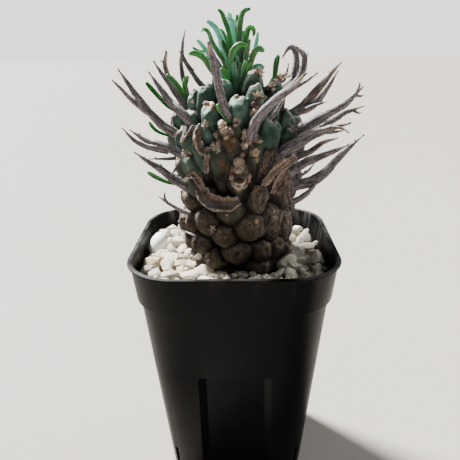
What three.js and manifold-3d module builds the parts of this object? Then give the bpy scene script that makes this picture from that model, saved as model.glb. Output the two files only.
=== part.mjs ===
// A potted Euphorbia schoenlandii: a club-shaped succulent covered in tubercles, with dead woody
// flower stalks standing out of it and a tuft of narrow leaves on top, in a deep square black
// nursery pot that is topped with pale pumice.
// Millimetres, +Z up. The origin is the middle of the pot's underside. The side that is looked at
// most is -Y, with +X to its right. "Side" angles go round from -Y towards +X.
import * as THREE from 'three';
import { mergeVertices } from 'three/addons/utils/BufferGeometryUtils.js';
import Module from 'manifold-3d';

const wasm = await Module();
wasm.setup();

// Gap between two pieces that touch.
const gap = 0.3;

const pot = {
  height: 120,
  rimHalf: 45,
  rimCorner: 22.5,
  lipDepth: 1.3,
  lipOverhang: 1,
  collarBottom: 102.2,
  collarHalf: 42.2,
  collarCorner: 21,
  shoulderHalf: 40.8,
  shoulderCorner: 20,
  baseHalf: 30.6,
  baseCorner: 10.8,
  wall: 1.2,
  floor: 2,
};

// The shallow channel that runs down the middle of each face to the bottom.
const channel = { top: 68.3, halfWidth: 16, halfFloor: 12.8, depthTop: 2.4, depthBottom: 3.6 };

const cornerSlit = { width: 2.2, length: 16, top: 22 };
const drainHole = { radius: 3, ring: 17, count: 8 };

const soilTop = 106;
const rootHole = { radius: 25, shoulder: 104.5 };

const gravel = {
  bedDepth: 3,
  spacing: 7,
  grainRadius: 3.8,
  level: 110.4,
  heap: 1.6,
  reach: 41,
  cornerReach: 52,
};

const pebble = {
  x: -37, y: 5.5, z: 114.6, length: 12.5, width: 8.4, thickness: 7, turn: 58, lift: 42,
};

// The stem's axis stands a little off the middle of the pot. The profile is its surface between
// the tubercles, as [height, radius], and the root comes to a point below it.
const stem = {
  x: 2.2,
  y: 0,
  profile: [[106, 18.6], [130, 17.8], [150, 19.4], [163, 18.8], [172, 16.4], [180, 11.8], [186, 7]],
  rootPoint: 84,
  topPoint: 179.5,
};

// Tubercles stand on a spiral: each is a golden angle round from the one below and a little
// higher. The steps are wider at the bottom of the stem, where the tubercles are oldest.
const tubercle = {
  count: 96,
  firstHeight: 110,
  lastHeight: 182.5,
  crowding: 0.2,
  goldenAngle: 137.508,
  firstSide: 196,
  spirals: [8, 5],
  splits: 4,
  spread: 0.97,
  bluntness: 2.6,
  height: [[109, 6], [150, 7], [166, 8.6], [178, 8], [186, 5]],
  lean: [[109, 8], [125, 20], [145, 30], [165, 42], [175, 54], [185, 66]],
};

// The dead flower stalks on the side that is looked at most, from left to right. Each starts at
// the end of a tubercle. rise is the slope of the stalk from root to tip in degrees, and curl is
// how far its slope turns upwards on the way. fork is the length of a side prong.
const seenStalks = [
  { side: -140, root: 182, length: 31, rise: 46, curl: 20, fork: 0 },
  { side: -122, root: 178, length: 31, rise: 80, curl: 16, fork: 0 },
  { side: -113, root: 174, length: 29, rise: 68, curl: 18, fork: 0 },
  { side: -112, root: 176, length: 27, rise: 52, curl: 14, fork: 6 },
  { side: -110, root: 148, length: 20, rise: 10, curl: 10, fork: 0 },
  { side: -80, root: 168, length: 33, rise: 49, curl: 18, fork: 9 },
  { side: -66, root: 134, length: 17, rise: 29, curl: 24, fork: 4 },
  { side: -66, root: 148, length: 25, rise: 38, curl: 16, fork: 0 },
  { side: -53, root: 162, length: 29, rise: 26, curl: 30, fork: 8 },
  { side: -40, root: 174, length: 30, rise: 41, curl: 16, fork: 0 },
  { side: -28, root: 148, length: 15, rise: 30, curl: 30, fork: 0 },
  { side: -9, root: 176, length: 36, rise: 51, curl: 26, fork: 0 },
  { side: 22, root: 170, length: 42, rise: 38, curl: 22, fork: 7 },
  { side: 24, root: 153, length: 26, rise: 30, curl: 20, fork: 0 },
  { side: 38, root: 161, length: 36, rise: 28, curl: 14, fork: 8 },
  { side: 38, root: 177, length: 26, rise: 38, curl: 18, fork: 0 },
  { side: 57, root: 153, length: 27, rise: 31, curl: 12, fork: 0 },
  { side: 68, root: 170, length: 31, rise: 36, curl: 18, fork: 0 },
  { side: 77, root: 144, length: 36, rise: 40, curl: 16, fork: 0 },
  { side: 84, root: 165, length: 29, rise: 30, curl: 16, fork: 6 },
  { side: 89, root: 138, length: 15, rise: 34, curl: 20, fork: 0 },
  { side: 102, root: 176, length: 29, rise: 44, curl: 20, fork: 7 },
  { side: 104, root: 153, length: 16, rise: 18, curl: 14, fork: 0 },
  { side: 122, root: 174, length: 27, rise: 76, curl: 30, fork: 5 },
];

// The stalks behind follow a rule, row by row up the stem.
const hiddenStalks = {
  rows: [142, 155, 167, 178],
  perRow: 4,
  fromSide: 132,
  toSide: 234,
  length: [18, 33],
  rise: [26, 52],
  curl: 18,
};

const stalk = {
  rootReach: [[122, 24.4], [138, 23.8], [152, 25.6], [166, 26.4], [175, 24.6], [185, 17.5]],
  rootRadius: 2,
  tipRadius: 0.6,
  sunk: 2.5,
  sides: 4,
  steps: 4,
  prongPlace: 0.62,
  prongTurn: 36,
  prongRadius: 0.8,
  prongSides: 3,
};

const leaf = {
  halfWidth: 1.35,
  thickness: 0.7,
  channelDepth: 0.55,
  steps: 5,
  crown: [[0, 180.5], [3, 182.6], [5.8, 186.4], [4.6, 188.2], [0, 189]],
  crownSides: 8,
  rootHeight: 185.8,
};

// Leaves of the tuft stand in rings, the inner rings steeper and younger. bend is how far a leaf
// turns over towards its tip, in degrees.
const leafRings = [
  { count: 12, radius: 4.6, length: [24, 30], rise: [72, 82], bend: [30, 120], phase: 8 },
  { count: 8, radius: 2.7, length: [27, 32], rise: [79, 87], bend: [10, 100], phase: 25 },
  { count: 4, radius: 1.2, length: [24, 30], rise: [82, 88], bend: [5, 60], phase: 40 },
];

// Single leaves that grow from the ends of upper tubercles.
const singleLeaves = [
  { side: -96, root: 171, length: 24, rise: 44, bend: 26 },
  { side: -74, root: 173, length: 22, rise: 62, bend: 44 },
  { side: -52, root: 178, length: 19, rise: 78, bend: 20 },
  { side: -84, root: 150, length: 13, rise: 20, bend: -16 },
  { side: -14, root: 170, length: 12, rise: 60, bend: 34 },
  { side: 52, root: 180, length: 13, rise: 72, bend: 30 },
  { side: 150, root: 177, length: 18, rise: 60, bend: 50 },
  { side: 205, root: 172, length: 20, rise: 52, bend: 40 },
];

// Draws and curves

const toRadians = THREE.MathUtils.degToRad;
const mix = THREE.MathUtils.lerp;

// A repeatable draw between 0 and 1 for the n-th copy and its k-th property.
function draw(n, k) {
  const s = Math.sin(n * 12.9898 + k * 78.233) * 43758.5453;
  return s - Math.floor(s);
}

// The value of a list of [position, value] pairs at a position, in straight steps.
function valueAt(pairs, position) {
  const last = pairs.length - 1;
  if (position <= pairs[0][0]) return pairs[0][1];
  if (position >= pairs[last][0]) return pairs[last][1];
  const i = pairs.findIndex((pair) => pair[0] > position);
  const share = (position - pairs[i - 1][0]) / (pairs[i][0] - pairs[i - 1][0]);
  return mix(pairs[i - 1][1], pairs[i][1], share);
}

// Level direction outwards at a side angle.
function outwards(side) {
  const a = toRadians(side);
  return new THREE.Vector3(Math.sin(a), -Math.cos(a), 0);
}

// Level direction along the stem's surface, to the right when it is looked at from outside.
function alongside(side) {
  const a = toRadians(side);
  return new THREE.Vector3(Math.cos(a), Math.sin(a), 0);
}

function slope(side, rise) {
  const a = toRadians(rise);
  const up = new THREE.Vector3(0, 0, Math.sin(a));
  return outwards(side).multiplyScalar(Math.cos(a)).add(up);
}

// Stations along a curve that starts at a point and turns from one slope to another. Each holds
// its place, the way it goes, and its own right and upper side.
function bentLine({ start, side, length, firstRise, lastRise, power, steps }) {
  const stations = [];
  const place = start.clone();
  const right = alongside(side);
  for (let i = 0; i <= steps; i += 1) {
    const way = slope(side, mix(firstRise, lastRise, (i / steps) ** power));
    const upper = new THREE.Vector3().crossVectors(way, right);
    stations.push({ place: place.clone(), way, right, upper, share: i / steps });
    place.addScaledVector(way, length / steps);
  }
  return stations;
}

// Solids

// A closed solid through rings of points. The rings have the same number of points, and each runs
// anticlockwise when the solid comes towards the eye.
function loft(rings) {
  const count = rings[0].length;
  const positions = rings.flat().flatMap((p) => [p.x, p.y, p.z]);
  const index = [];
  for (let i = 0; i < rings.length - 1; i += 1) {
    for (let j = 0; j < count; j += 1) {
      const a = i * count + j;
      const b = i * count + ((j + 1) % count);
      index.push(a, b, b + count, a, b + count, a + count);
    }
  }
  const top = (rings.length - 1) * count;
  for (let low = 0, high = count - 1; high - low > 1;) {
    index.push(low + 1, low, high, top + low, top + low + 1, top + high);
    if (high - low > 2) {
      index.push(low + 1, high, high - 1, top + low + 1, top + high - 1, top + high);
    }
    low += 1;
    high -= 1;
  }
  const geometry = new THREE.BufferGeometry();
  geometry.setAttribute('position', new THREE.Float32BufferAttribute(positions, 3));
  geometry.setIndex(index);
  return geometry;
}

// A geometry as a solid that can be joined and cut. Triangles that have shrunk to a line go.
function solidOf(geometry) {
  const bare = geometry.clone();
  for (const name of ['normal', 'uv']) bare.deleteAttribute(name);
  const merged = mergeVertices(bare, 1e-4);
  const source = merged.index.array;
  const triangles = [];
  for (let i = 0; i < source.length; i += 3) {
    const [a, b, c] = [source[i], source[i + 1], source[i + 2]];
    if (a !== b && b !== c && c !== a) triangles.push(a, b, c);
  }
  const mesh = new wasm.Mesh({
    numProp: 3,
    vertProperties: new Float32Array(merged.attributes.position.array),
    triVerts: new Uint32Array(triangles),
  });
  return new wasm.Manifold(mesh);
}

// The largest shell of a solid as a geometry. A hollow that is sealed inside it is filled by
// leaving out the hollow's own shell, and a loose scrap is dropped.
function geometryOf(solid) {
  const { vertProperties: positions, triVerts: triangles } = solid.getMesh();
  const shellOf = Array.from({ length: positions.length / 3 }, (_, i) => i);
  const findShell = (i) => {
    let shell = i;
    while (shellOf[shell] !== shell) shell = shellOf[shell];
    shellOf[i] = shell;
    return shell;
  };
  for (let i = 0; i < triangles.length; i += 3) {
    shellOf[findShell(triangles[i])] = findShell(triangles[i + 1]);
    shellOf[findShell(triangles[i + 1])] = findShell(triangles[i + 2]);
  }
  const volumes = new Map();
  const corner = (i) => new THREE.Vector3().fromArray(positions, 3 * triangles[i]);
  for (let i = 0; i < triangles.length; i += 3) {
    const shell = findShell(triangles[i]);
    const volume = corner(i).dot(corner(i + 1).cross(corner(i + 2))) / 6;
    volumes.set(shell, (volumes.get(shell) ?? 0) + volume);
  }
  const [largest] = [...volumes].reduce((a, b) => (b[1] > a[1] ? b : a));
  const kept = Array.from(triangles).filter((_, i) => findShell(triangles[i - (i % 3)]) === largest);
  const geometry = new THREE.BufferGeometry();
  geometry.setAttribute('position', new THREE.BufferAttribute(positions, 3));
  geometry.setIndex(kept);
  return geometry;
}

// All the solids joined into one, in pairs.
function joined(solids) {
  let left = solids;
  while (left.length > 1) {
    const next = [];
    for (let i = 0; i < left.length; i += 2) {
      next.push(i + 1 < left.length ? left[i].add(left[i + 1]) : left[i]);
    }
    left = next;
  }
  return left[0];
}

// A solid of revolution about an upright axis. The profile is a list of [radius, height].
function turned(profile, sides) {
  const points = profile.map(([radius, height]) => new THREE.Vector2(radius, height));
  return new THREE.LatheGeometry(points, sides).rotateX(Math.PI / 2);
}

// A square outline with rounded corners at a height.
function squareRing(half, corner, height) {
  const arcSteps = 6;
  const ring = [];
  for (let quarter = 0; quarter < 4; quarter += 1) {
    const middle = toRadians(45 + 90 * quarter);
    const centre = (half - corner) * Math.SQRT2;
    for (let i = 0; i <= arcSteps; i += 1) {
      const a = middle - Math.PI / 4 + (Math.PI / 2) * (i / arcSteps);
      const x = centre * Math.cos(middle) + corner * Math.cos(a);
      const y = centre * Math.sin(middle) + corner * Math.sin(a);
      ring.push(new THREE.Vector3(x, y, height));
    }
  }
  return ring;
}

// A tapering round rod along stations.
function rod(stations, radiusAt, sides) {
  return loft(stations.map(({ place, right, upper, share }) => {
    const ring = [];
    for (let j = 0; j < sides; j += 1) {
      const a = (2 * Math.PI * j) / sides;
      const radius = radiusAt(share);
      const point = place.clone().addScaledVector(right, radius * Math.cos(a));
      ring.push(point.addScaledVector(upper, radius * Math.sin(a)));
    }
    return ring;
  }));
}

// A narrow leaf with a channel along its upper side. Both faces are split the same way.
function blade(stations) {
  return loft(stations.map(({ place, right, upper, share }) => {
    const width = leaf.halfWidth * valueAt([[0, 0.62], [0.55, 1], [0.86, 0.96], [1, 0.42]], share);
    const channel = leaf.channelDepth * (1 - share * 0.5);
    const spot = (across, above) => place.clone()
      .addScaledVector(right, across).addScaledVector(upper, above);
    return [
      spot(-width, 0), spot(0, -channel), spot(width, 0),
      spot(width, leaf.thickness), spot(0, leaf.thickness - channel), spot(-width, leaf.thickness),
    ];
  }));
}

// The pot

const bodyTaper = (pot.shoulderHalf - pot.baseHalf) / pot.collarBottom;

// Half the pot's outside width at a height below the collar.
function bodyHalf(height) {
  return pot.baseHalf + bodyTaper * height;
}

function bodyCorner(height) {
  return mix(pot.baseCorner, pot.shoulderCorner, height / pot.collarBottom);
}

function collarHalfAt(height) {
  const share = (height - pot.collarBottom) / (pot.height - pot.collarBottom);
  return mix(pot.collarHalf, pot.rimHalf - pot.lipOverhang, share);
}

function collarCornerAt(height) {
  const share = (height - pot.collarBottom) / (pot.height - pot.collarBottom);
  return mix(pot.collarCorner, pot.rimCorner - pot.lipOverhang, share);
}

// The space inside the pot from one height up to another, drawn in from the outside by a margin.
function insideOfPot(margin, bottom, top) {
  const rings = [];
  const ledge = pot.collarBottom + 0.6;
  if (bottom < pot.collarBottom) {
    rings.push(squareRing(bodyHalf(bottom) - margin, bodyCorner(bottom) - margin, bottom));
    rings.push(squareRing(pot.shoulderHalf - margin, pot.shoulderCorner - margin, pot.collarBottom));
    rings.push(squareRing(collarHalfAt(ledge) - margin, collarCornerAt(ledge) - margin, ledge));
  } else {
    rings.push(squareRing(collarHalfAt(bottom) - margin, collarCornerAt(bottom) - margin, bottom));
  }
  rings.push(squareRing(collarHalfAt(top) - margin, collarCornerAt(top) - margin, top));
  return solidOf(loft(rings));
}

// The four channels as solids to cut away, grown by a margin on their inner side.
function channels(margin) {
  const proud = 1;
  const ring = (height, depth) => {
    const face = bodyHalf(height);
    const flare = (channel.halfWidth - channel.halfFloor) / depth;
    const outer = channel.halfWidth + margin + flare * proud;
    const inner = channel.halfFloor + margin;
    return [
      new THREE.Vector3(-outer, -face - proud, height),
      new THREE.Vector3(outer, -face - proud, height),
      new THREE.Vector3(inner, -face + depth + margin, height),
      new THREE.Vector3(-inner, -face + depth + margin, height),
    ];
  };
  const geometry = loft([ring(-1, channel.depthBottom), ring(channel.top + margin, channel.depthTop)]);
  const quarters = [0, 1, 2, 3].map((quarter) => geometry.clone().rotateZ((quarter * Math.PI) / 2));
  return joined(quarters.map(solidOf));
}

function makePot() {
  const lipBottom = pot.height - pot.lipDepth;
  const outside = solidOf(loft([
    squareRing(pot.baseHalf, pot.baseCorner, 0),
    squareRing(pot.shoulderHalf, pot.shoulderCorner, pot.collarBottom),
    squareRing(pot.collarHalf, pot.collarCorner, pot.collarBottom + 0.6),
    squareRing(collarHalfAt(lipBottom), collarCornerAt(lipBottom), lipBottom),
    squareRing(pot.rimHalf, pot.rimCorner, lipBottom + 0.4),
    squareRing(pot.rimHalf, pot.rimCorner, pot.height - 0.4),
    squareRing(pot.rimHalf - 0.4, pot.rimCorner - 0.4, pot.height),
  ]));
  const inside = insideOfPot(pot.wall, pot.floor, pot.height + 1).subtract(channels(pot.wall));
  const cuts = [];
  for (let corner = 0; corner < 4; corner += 1) {
    const middle = Math.PI / 4 + (corner * Math.PI) / 2;
    const slit = new THREE.BoxGeometry(cornerSlit.length, cornerSlit.width, cornerSlit.top + 1);
    const diagonal = (pot.baseHalf - pot.baseCorner) * Math.SQRT2 + pot.baseCorner;
    slit.translate(diagonal, 0, (cornerSlit.top - 1) / 2).rotateZ(middle);
    cuts.push(solidOf(slit));
  }
  for (let i = 0; i < drainHole.count; i += 1) {
    const hole = new THREE.CylinderGeometry(drainHole.radius, drainHole.radius, pot.floor * 3, 10);
    hole.rotateX(Math.PI / 2).translate(drainHole.ring, 0, pot.floor);
    hole.rotateZ((2 * Math.PI * (i + 0.5)) / drainHole.count);
    cuts.push(solidOf(hole));
  }
  return outside.subtract(channels(0)).subtract(inside).subtract(joined(cuts));
}

// The stem and all that grows from it

const surfaceRadius = (height) => valueAt(stem.profile, height);

// Height on the stem of a place along the spiral, which is a whole number at each tubercle.
function spiralHeight(place) {
  const share = place / (tubercle.count - 1);
  const eased = (1 + tubercle.crowding) * share - tubercle.crowding * share * share;
  return mix(tubercle.firstHeight, tubercle.lastHeight, eased);
}

function surfacePoint(side, height) {
  return outwards(side).multiplyScalar(surfaceRadius(height)).setZ(height);
}

const tubercles = Array.from({ length: tubercle.count }, (_, n) => {
  const side = tubercle.firstSide + tubercle.goldenAngle * n;
  const height = spiralHeight(n);
  const size = valueAt(tubercle.height, height) * (0.88 + 0.24 * draw(n, 1));
  const middle = surfacePoint(side, height);
  const way = slope(side, valueAt(tubercle.lean, height));
  return { side, size, middle, way, end: middle.clone().addScaledVector(way, size) };
});

// How far the surface is raised at a place: most at the middle of a tubercle, and nothing in the
// clefts where three of them meet.
function raisedBy(point, place) {
  const step = spiralHeight(place + 0.5) - spiralHeight(place - 0.5);
  const cell = 2 * Math.PI * surfaceRadius(point.z) * step;
  const cleft = tubercle.spread * Math.sqrt(cell / (1.5 * Math.sqrt(3)));
  const near = tubercles.filter((_, n) => Math.abs(n - place) < 22);
  const heights = near.map(({ middle, size }) => (
    size * (1 - (middle.distanceTo(point) / cleft) ** tubercle.bluntness)
  ));
  return Math.max(0, ...heights);
}

// The whole raised surface. Two families of spirals divide it into one slanted cell for each
// tubercle, and each cell is split evenly. Fans close the root and the top.
function tubercledBody() {
  const [first, second] = tubercle.spirals;
  const half = tubercle.splits / 2;
  const turnOf = (steps) => {
    const turn = (steps * tubercle.goldenAngle) % 360;
    return turn > 180 ? turn - 360 : turn;
  };
  const positions = [];
  const numberOf = new Map();
  const vertexAt = (n, i, j) => {
    const across = 2 * n * tubercle.splits + i;
    const along = -3 * n * tubercle.splits + j;
    const lap = second * tubercle.splits;
    const key = `${((across % lap) + lap) % lap},${first * across + second * along}`;
    if (!numberOf.has(key)) {
      const [p, q] = [i / tubercle.splits, j / tubercle.splits];
      const place = n + first * p + second * q;
      const side = tubercle.firstSide + tubercle.goldenAngle * n + turnOf(first) * p + turnOf(second) * q;
      const point = surfacePoint(side, spiralHeight(place));
      const way = slope(side, valueAt(tubercle.lean, point.z));
      point.addScaledVector(way, raisedBy(point, place));
      numberOf.set(key, positions.length / 3);
      positions.push(point.x, point.y, point.z);
    }
    return numberOf.get(key);
  };
  const index = [];
  for (let n = 0; n < tubercle.count; n += 1) {
    for (let i = -half; i < half; i += 1) {
      for (let j = -half; j < half; j += 1) {
        const [a, b] = [vertexAt(n, i, j), vertexAt(n, i + 1, j)];
        const [c, d] = [vertexAt(n, i + 1, j + 1), vertexAt(n, i, j + 1)];
        if (i < 0 === j < 0) index.push(a, b, c, a, c, d);
        else index.push(a, b, d, b, c, d);
      }
    }
  }
  const [root, top] = [positions.length / 3, positions.length / 3 + 1];
  positions.push(0, 0, stem.rootPoint, 0, 0, stem.topPoint);
  const middleHeight = (tubercle.firstHeight + tubercle.lastHeight) / 2;
  const edges = new Set();
  for (let i = 0; i < index.length; i += 3) {
    for (let j = 0; j < 3; j += 1) edges.add(`${index[i + j]},${index[i + ((j + 1) % 3)]}`);
  }
  for (const edge of edges) {
    const [a, b] = edge.split(',').map(Number);
    if (!edges.has(`${b},${a}`)) index.push(b, a, positions[3 * a + 2] > middleHeight ? top : root);
  }
  const geometry = new THREE.BufferGeometry();
  geometry.setAttribute('position', new THREE.Float32BufferAttribute(positions, 3));
  geometry.setIndex(index);
  return solidOf(geometry);
}

// The tubercle whose end is nearest to a point.
function nearestTubercle(point) {
  const distance = (one) => one.end.distanceTo(point);
  return tubercles.reduce((a, b) => (distance(b) < distance(a) ? b : a));
}

// Where a tubercle's end stands at a height, if one is there.
function endPoint(side, height) {
  return outwards(side).multiplyScalar(valueAt(stalk.rootReach, height)).setZ(height);
}

// Stations along a curve, with the curve's own right and upper side.
function stationsOf(curve, side, steps) {
  return Array.from({ length: steps + 1 }, (_, i) => {
    const share = i / steps;
    const way = curve.getTangent(share);
    const upper = new THREE.Vector3().crossVectors(way, alongside(side)).normalize();
    const right = new THREE.Vector3().crossVectors(upper, way);
    return { place: curve.getPoint(share), way, right, upper, share };
  });
}

// A dead flower stalk, with a side prong where it forks. It grows from the nearest tubercle.
function makeStalk({ side, root, length, rise, curl, fork }) {
  const start = endPoint(side, root);
  const tip = start.clone().addScaledVector(slope(side, rise), length);
  const grower = nearestTubercle(start);
  start.copy(grower.end).addScaledVector(grower.way, -stalk.sunk);
  const reach = start.distanceTo(tip) / 2;
  const bend = start.clone().addScaledVector(slope(side, rise - curl), reach);
  const line = new THREE.QuadraticBezierCurve3(start, bend, tip);
  const radiusAt = (share) => mix(stalk.rootRadius, stalk.tipRadius, share ** 0.8);
  const solids = [solidOf(rod(stationsOf(line, side, stalk.steps), radiusAt, stalk.sides))];
  if (fork > 0) {
    const parting = line.getPoint(stalk.prongPlace);
    const prongTip = parting.clone().addScaledVector(slope(side + stalk.prongTurn, rise + curl), fork);
    const prong = new THREE.LineCurve3(parting, prongTip);
    const radiusAlong = (share) => mix(stalk.prongRadius, stalk.tipRadius, share);
    solids.push(solidOf(rod(stationsOf(prong, side, 1), radiusAlong, stalk.prongSides)));
  }
  return joined(solids);
}

function stalksBehind() {
  const { rows, perRow, fromSide, toSide, length, rise, curl } = hiddenStalks;
  return rows.flatMap((root, row) => {
    const stalks = [];
    for (let i = 0; i < perRow; i += 1) {
      const n = row * perRow + i;
      const share = (i + 0.25 + 0.5 * (row % 2) + 0.3 * (draw(n, 11) - 0.5)) / perRow;
      stalks.push({
        side: mix(fromSide, toSide, share),
        root: root + 5 * (draw(n, 12) - 0.5),
        length: mix(length[0], length[1], draw(n, 13)),
        rise: mix(rise[0], rise[1], draw(n, 14)) + 4 * row,
        curl,
        fork: draw(n, 15) > 0.6 ? 6 : 0,
      });
    }
    return stalks;
  });
}

function makeSingleLeaf({ side, root, length, rise, bend }) {
  const grower = nearestTubercle(endPoint(side, root));
  return solidOf(blade(bentLine({
    start: grower.end.clone().addScaledVector(grower.way, -stalk.sunk),
    side,
    length: length + stalk.sunk,
    firstRise: rise,
    lastRise: rise - bend,
    power: 2,
    steps: leaf.steps,
  })));
}

function makeStem() {
  const solids = [tubercledBody()];
  for (const one of [...seenStalks, ...stalksBehind()]) solids.push(makeStalk(one));
  for (const one of singleLeaves) solids.push(makeSingleLeaf(one));
  return joined(solids).translate([stem.x, stem.y, 0]);
}

// The leaf tuft

function makeTuft() {
  const solids = [solidOf(turned(leaf.crown, leaf.crownSides))];
  leafRings.forEach(({ count, radius, length, rise, bend, phase }, ring) => {
    for (let i = 0; i < count; i += 1) {
      const n = 100 * (ring + 1) + i;
      const side = phase + (360 * (i + 0.5 * (draw(n, 21) - 0.5))) / count;
      const firstRise = mix(rise[0], rise[1], draw(n, 22));
      const start = outwards(side).multiplyScalar(radius).setZ(leaf.rootHeight);
      solids.push(solidOf(blade(bentLine({
        start,
        side,
        length: mix(length[0], length[1], draw(n, 23)),
        firstRise,
        lastRise: firstRise - mix(bend[0], bend[1], draw(n, 24)),
        power: 2.2,
        steps: leaf.steps,
      }))));
    }
  });
  return joined(solids).translate([stem.x, stem.y, 0]);
}

// The soil and what lies on it

// The plain hole that the stem stands in: a cone for its root, and round above that, wide enough
// for its tubercles.
function stemHole() {
  const { radius, shoulder } = rootHole;
  const profile = [
    [0, stem.rootPoint - 2 * gap], [radius - 2.6, shoulder - gap], [radius, shoulder],
    [radius, pot.height], [0, pot.height],
  ];
  return solidOf(turned(profile, 24)).translate([stem.x, stem.y, 0]);
}

function makeSoil(hole) {
  const margin = pot.wall + gap;
  return insideOfPot(margin, pot.floor + gap, soilTop).subtract(channels(margin)).subtract(hole);
}

// One angular grain: a block with its corners moved, stretched and turned by draws.
function makeGrain(x, y, z, radius, n) {
  const length = 2 * radius * (0.75 + 0.4 * draw(n, 31));
  const width = 2 * radius * (0.62 + 0.3 * draw(n, 32));
  const grain = new THREE.BoxGeometry(length, width, 2 * radius * 0.62);
  const { position } = grain.attributes;
  for (let i = 0; i < position.count; i += 1) {
    const corner = (position.getX(i) > 0) + 2 * (position.getY(i) > 0) + 4 * (position.getZ(i) > 0);
    position.setX(i, position.getX(i) * (0.55 + 0.5 * draw(n, 41 + corner)));
    position.setY(i, position.getY(i) * (0.55 + 0.5 * draw(n, 51 + corner)));
    position.setZ(i, position.getZ(i) * (0.65 + 0.4 * draw(n, 61 + corner)));
  }
  grain.rotateX(draw(n, 34) * 0.9 - 0.45).rotateZ(draw(n, 35) * Math.PI);
  grain.rotateY(draw(n, 36) * 0.7 - 0.35);
  return solidOf(grain.translate(x, y, z));
}

function makeGravel(hole, stone) {
  const margin = pot.wall + gap;
  const bottom = soilTop + gap;
  const rowStep = gravel.spacing * Math.sin(Math.PI / 3);
  const rows = Math.ceil(gravel.reach / rowStep);
  const perRow = Math.ceil(gravel.reach / gravel.spacing);
  const solids = [insideOfPot(margin, bottom, bottom + gravel.bedDepth)];
  let n = 0;
  for (let row = -rows; row <= rows; row += 1) {
    for (let i = -perRow; i <= perRow; i += 1) {
      n += 1;
      const x = (i + (row % 2 ? 0.5 : 0) + 0.4 * (draw(n, 37) - 0.5)) * gravel.spacing;
      const y = row * rowStep + 0.4 * (draw(n, 38) - 0.5) * gravel.spacing;
      const inHole = Math.hypot(x - stem.x, y - stem.y) < rootHole.radius;
      const pastWall = Math.max(Math.abs(x), Math.abs(y)) > gravel.reach;
      const pastCorner = Math.hypot(x, y) > gravel.cornerReach;
      if (inHole || pastWall || pastCorner) continue;
      const heap = gravel.heap * Math.max(0, Math.cos(2 * Math.atan2(y, x)));
      const z = gravel.level + heap + 1.4 * (draw(n, 39) - 0.5);
      solids.push(makeGrain(x, y, z, gravel.grainRadius * (0.8 + 0.4 * draw(n, 40)), n));
    }
  }
  return joined(solids)
    .intersect(insideOfPot(margin, bottom, pot.height))
    .subtract(hole)
    .subtract(stone);
}

// The smooth oblong pebble, grown by a margin.
function makePebble(margin) {
  const stone = new THREE.IcosahedronGeometry(1, 1);
  stone.scale(pebble.length / 2 + margin, pebble.width / 2 + margin, pebble.thickness / 2 + margin);
  stone.rotateY(-toRadians(pebble.lift)).rotateZ(toRadians(pebble.turn));
  return solidOf(stone.translate(pebble.x, pebble.y, pebble.z));
}

// Assembly

function mesh(name, solid, color, roughness) {
  const material = new THREE.MeshStandardMaterial({ color, roughness, metalness: 0 });
  const made = new THREE.Mesh(geometryOf(solid), material);
  made.name = name;
  return made;
}

const hole = stemHole();
const group = new THREE.Group();
group.name = 'potted_euphorbia';
group.add(mesh('pot', makePot(), 0x1b1a17, 0.5));
group.add(mesh('potting_mix', makeSoil(hole), 0x3a2c20, 0.95));
group.add(mesh('pumice_gravel', makeGravel(hole, makePebble(gap)), 0xcdbf9f, 0.9));
group.add(mesh('white_pebble', makePebble(0), 0xd9e2ea, 0.5));
group.add(mesh('stem', makeStem(), 0x5d6a55, 0.7));
group.add(mesh('leaf_tuft', makeTuft(), 0x3f8a41, 0.5));

export default group;
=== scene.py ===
import math

import bpy
import numpy as np
from mathutils import Matrix, Vector, noise
from mathutils.bvhtree import BVHTree


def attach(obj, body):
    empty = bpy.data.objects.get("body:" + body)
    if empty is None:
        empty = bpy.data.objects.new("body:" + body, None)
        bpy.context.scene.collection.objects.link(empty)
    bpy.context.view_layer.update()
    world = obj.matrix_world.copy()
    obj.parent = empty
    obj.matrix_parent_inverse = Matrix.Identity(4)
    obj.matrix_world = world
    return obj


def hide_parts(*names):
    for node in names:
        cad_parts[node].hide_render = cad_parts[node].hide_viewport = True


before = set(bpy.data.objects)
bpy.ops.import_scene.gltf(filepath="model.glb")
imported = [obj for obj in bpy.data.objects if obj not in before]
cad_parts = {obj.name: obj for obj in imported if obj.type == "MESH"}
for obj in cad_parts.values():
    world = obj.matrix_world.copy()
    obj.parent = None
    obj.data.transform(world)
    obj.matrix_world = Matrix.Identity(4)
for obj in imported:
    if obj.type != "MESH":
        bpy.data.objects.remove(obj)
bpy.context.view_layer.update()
mm = 0.001
fullTurn = 6.28  # near enough for random turns


# Draws, curves and directions

def draw(n, k):
    # a repeatable draw between 0 and 1 for the n-th copy and its k-th property
    s = math.sin(n * 12.9898 + k * 78.233) * 43758.5453
    return s - math.floor(s)


def mix(a, b, share):
    return a + (b - a) * share


def drawBetween(low, high, n, k):
    return mix(low, high, draw(n, k))


def sway(width, n, k):
    # a repeatable draw from minus to plus half the width
    return width * (draw(n, k) - 0.5)


def clamp(value):
    return min(1, max(0, value))


def valueAt(pairs, position):
    return np.interp(position, *np.transpose(pairs))


def outwards(side):
    a = math.radians(side)
    return np.array([math.sin(a), -math.cos(a), 0.0])


def alongside(side):
    a = math.radians(side)
    return np.array([math.cos(a), math.sin(a), 0.0])


def slope(side, rise):
    a = math.radians(rise)
    return outwards(side) * math.cos(a) + np.array([0.0, 0.0, math.sin(a)])


def placeAt(side, reach, height):
    return outwards(side) * reach + [0, 0, height]


def unit(v):
    return v / np.linalg.norm(v)


def wave(point, scale, seed=0.0):
    # smooth noise, about -1 to 1, at a place in millimetres
    x, y, z = (float(c) / scale for c in point)
    return noise.noise(Vector((x + seed * 7.3, y - seed * 3.1, z + seed * 5.7)))


def waves(points, scale, seed):
    return np.array([wave(point, scale, seed) for point in points])


def layered(points, layers, seed=0):
    # smooth noise in layers, each given as (height, scale, seed)
    return sum(height * waves(points, scale, seed + own) for height, scale, own in layers)


# Meshes

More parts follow.
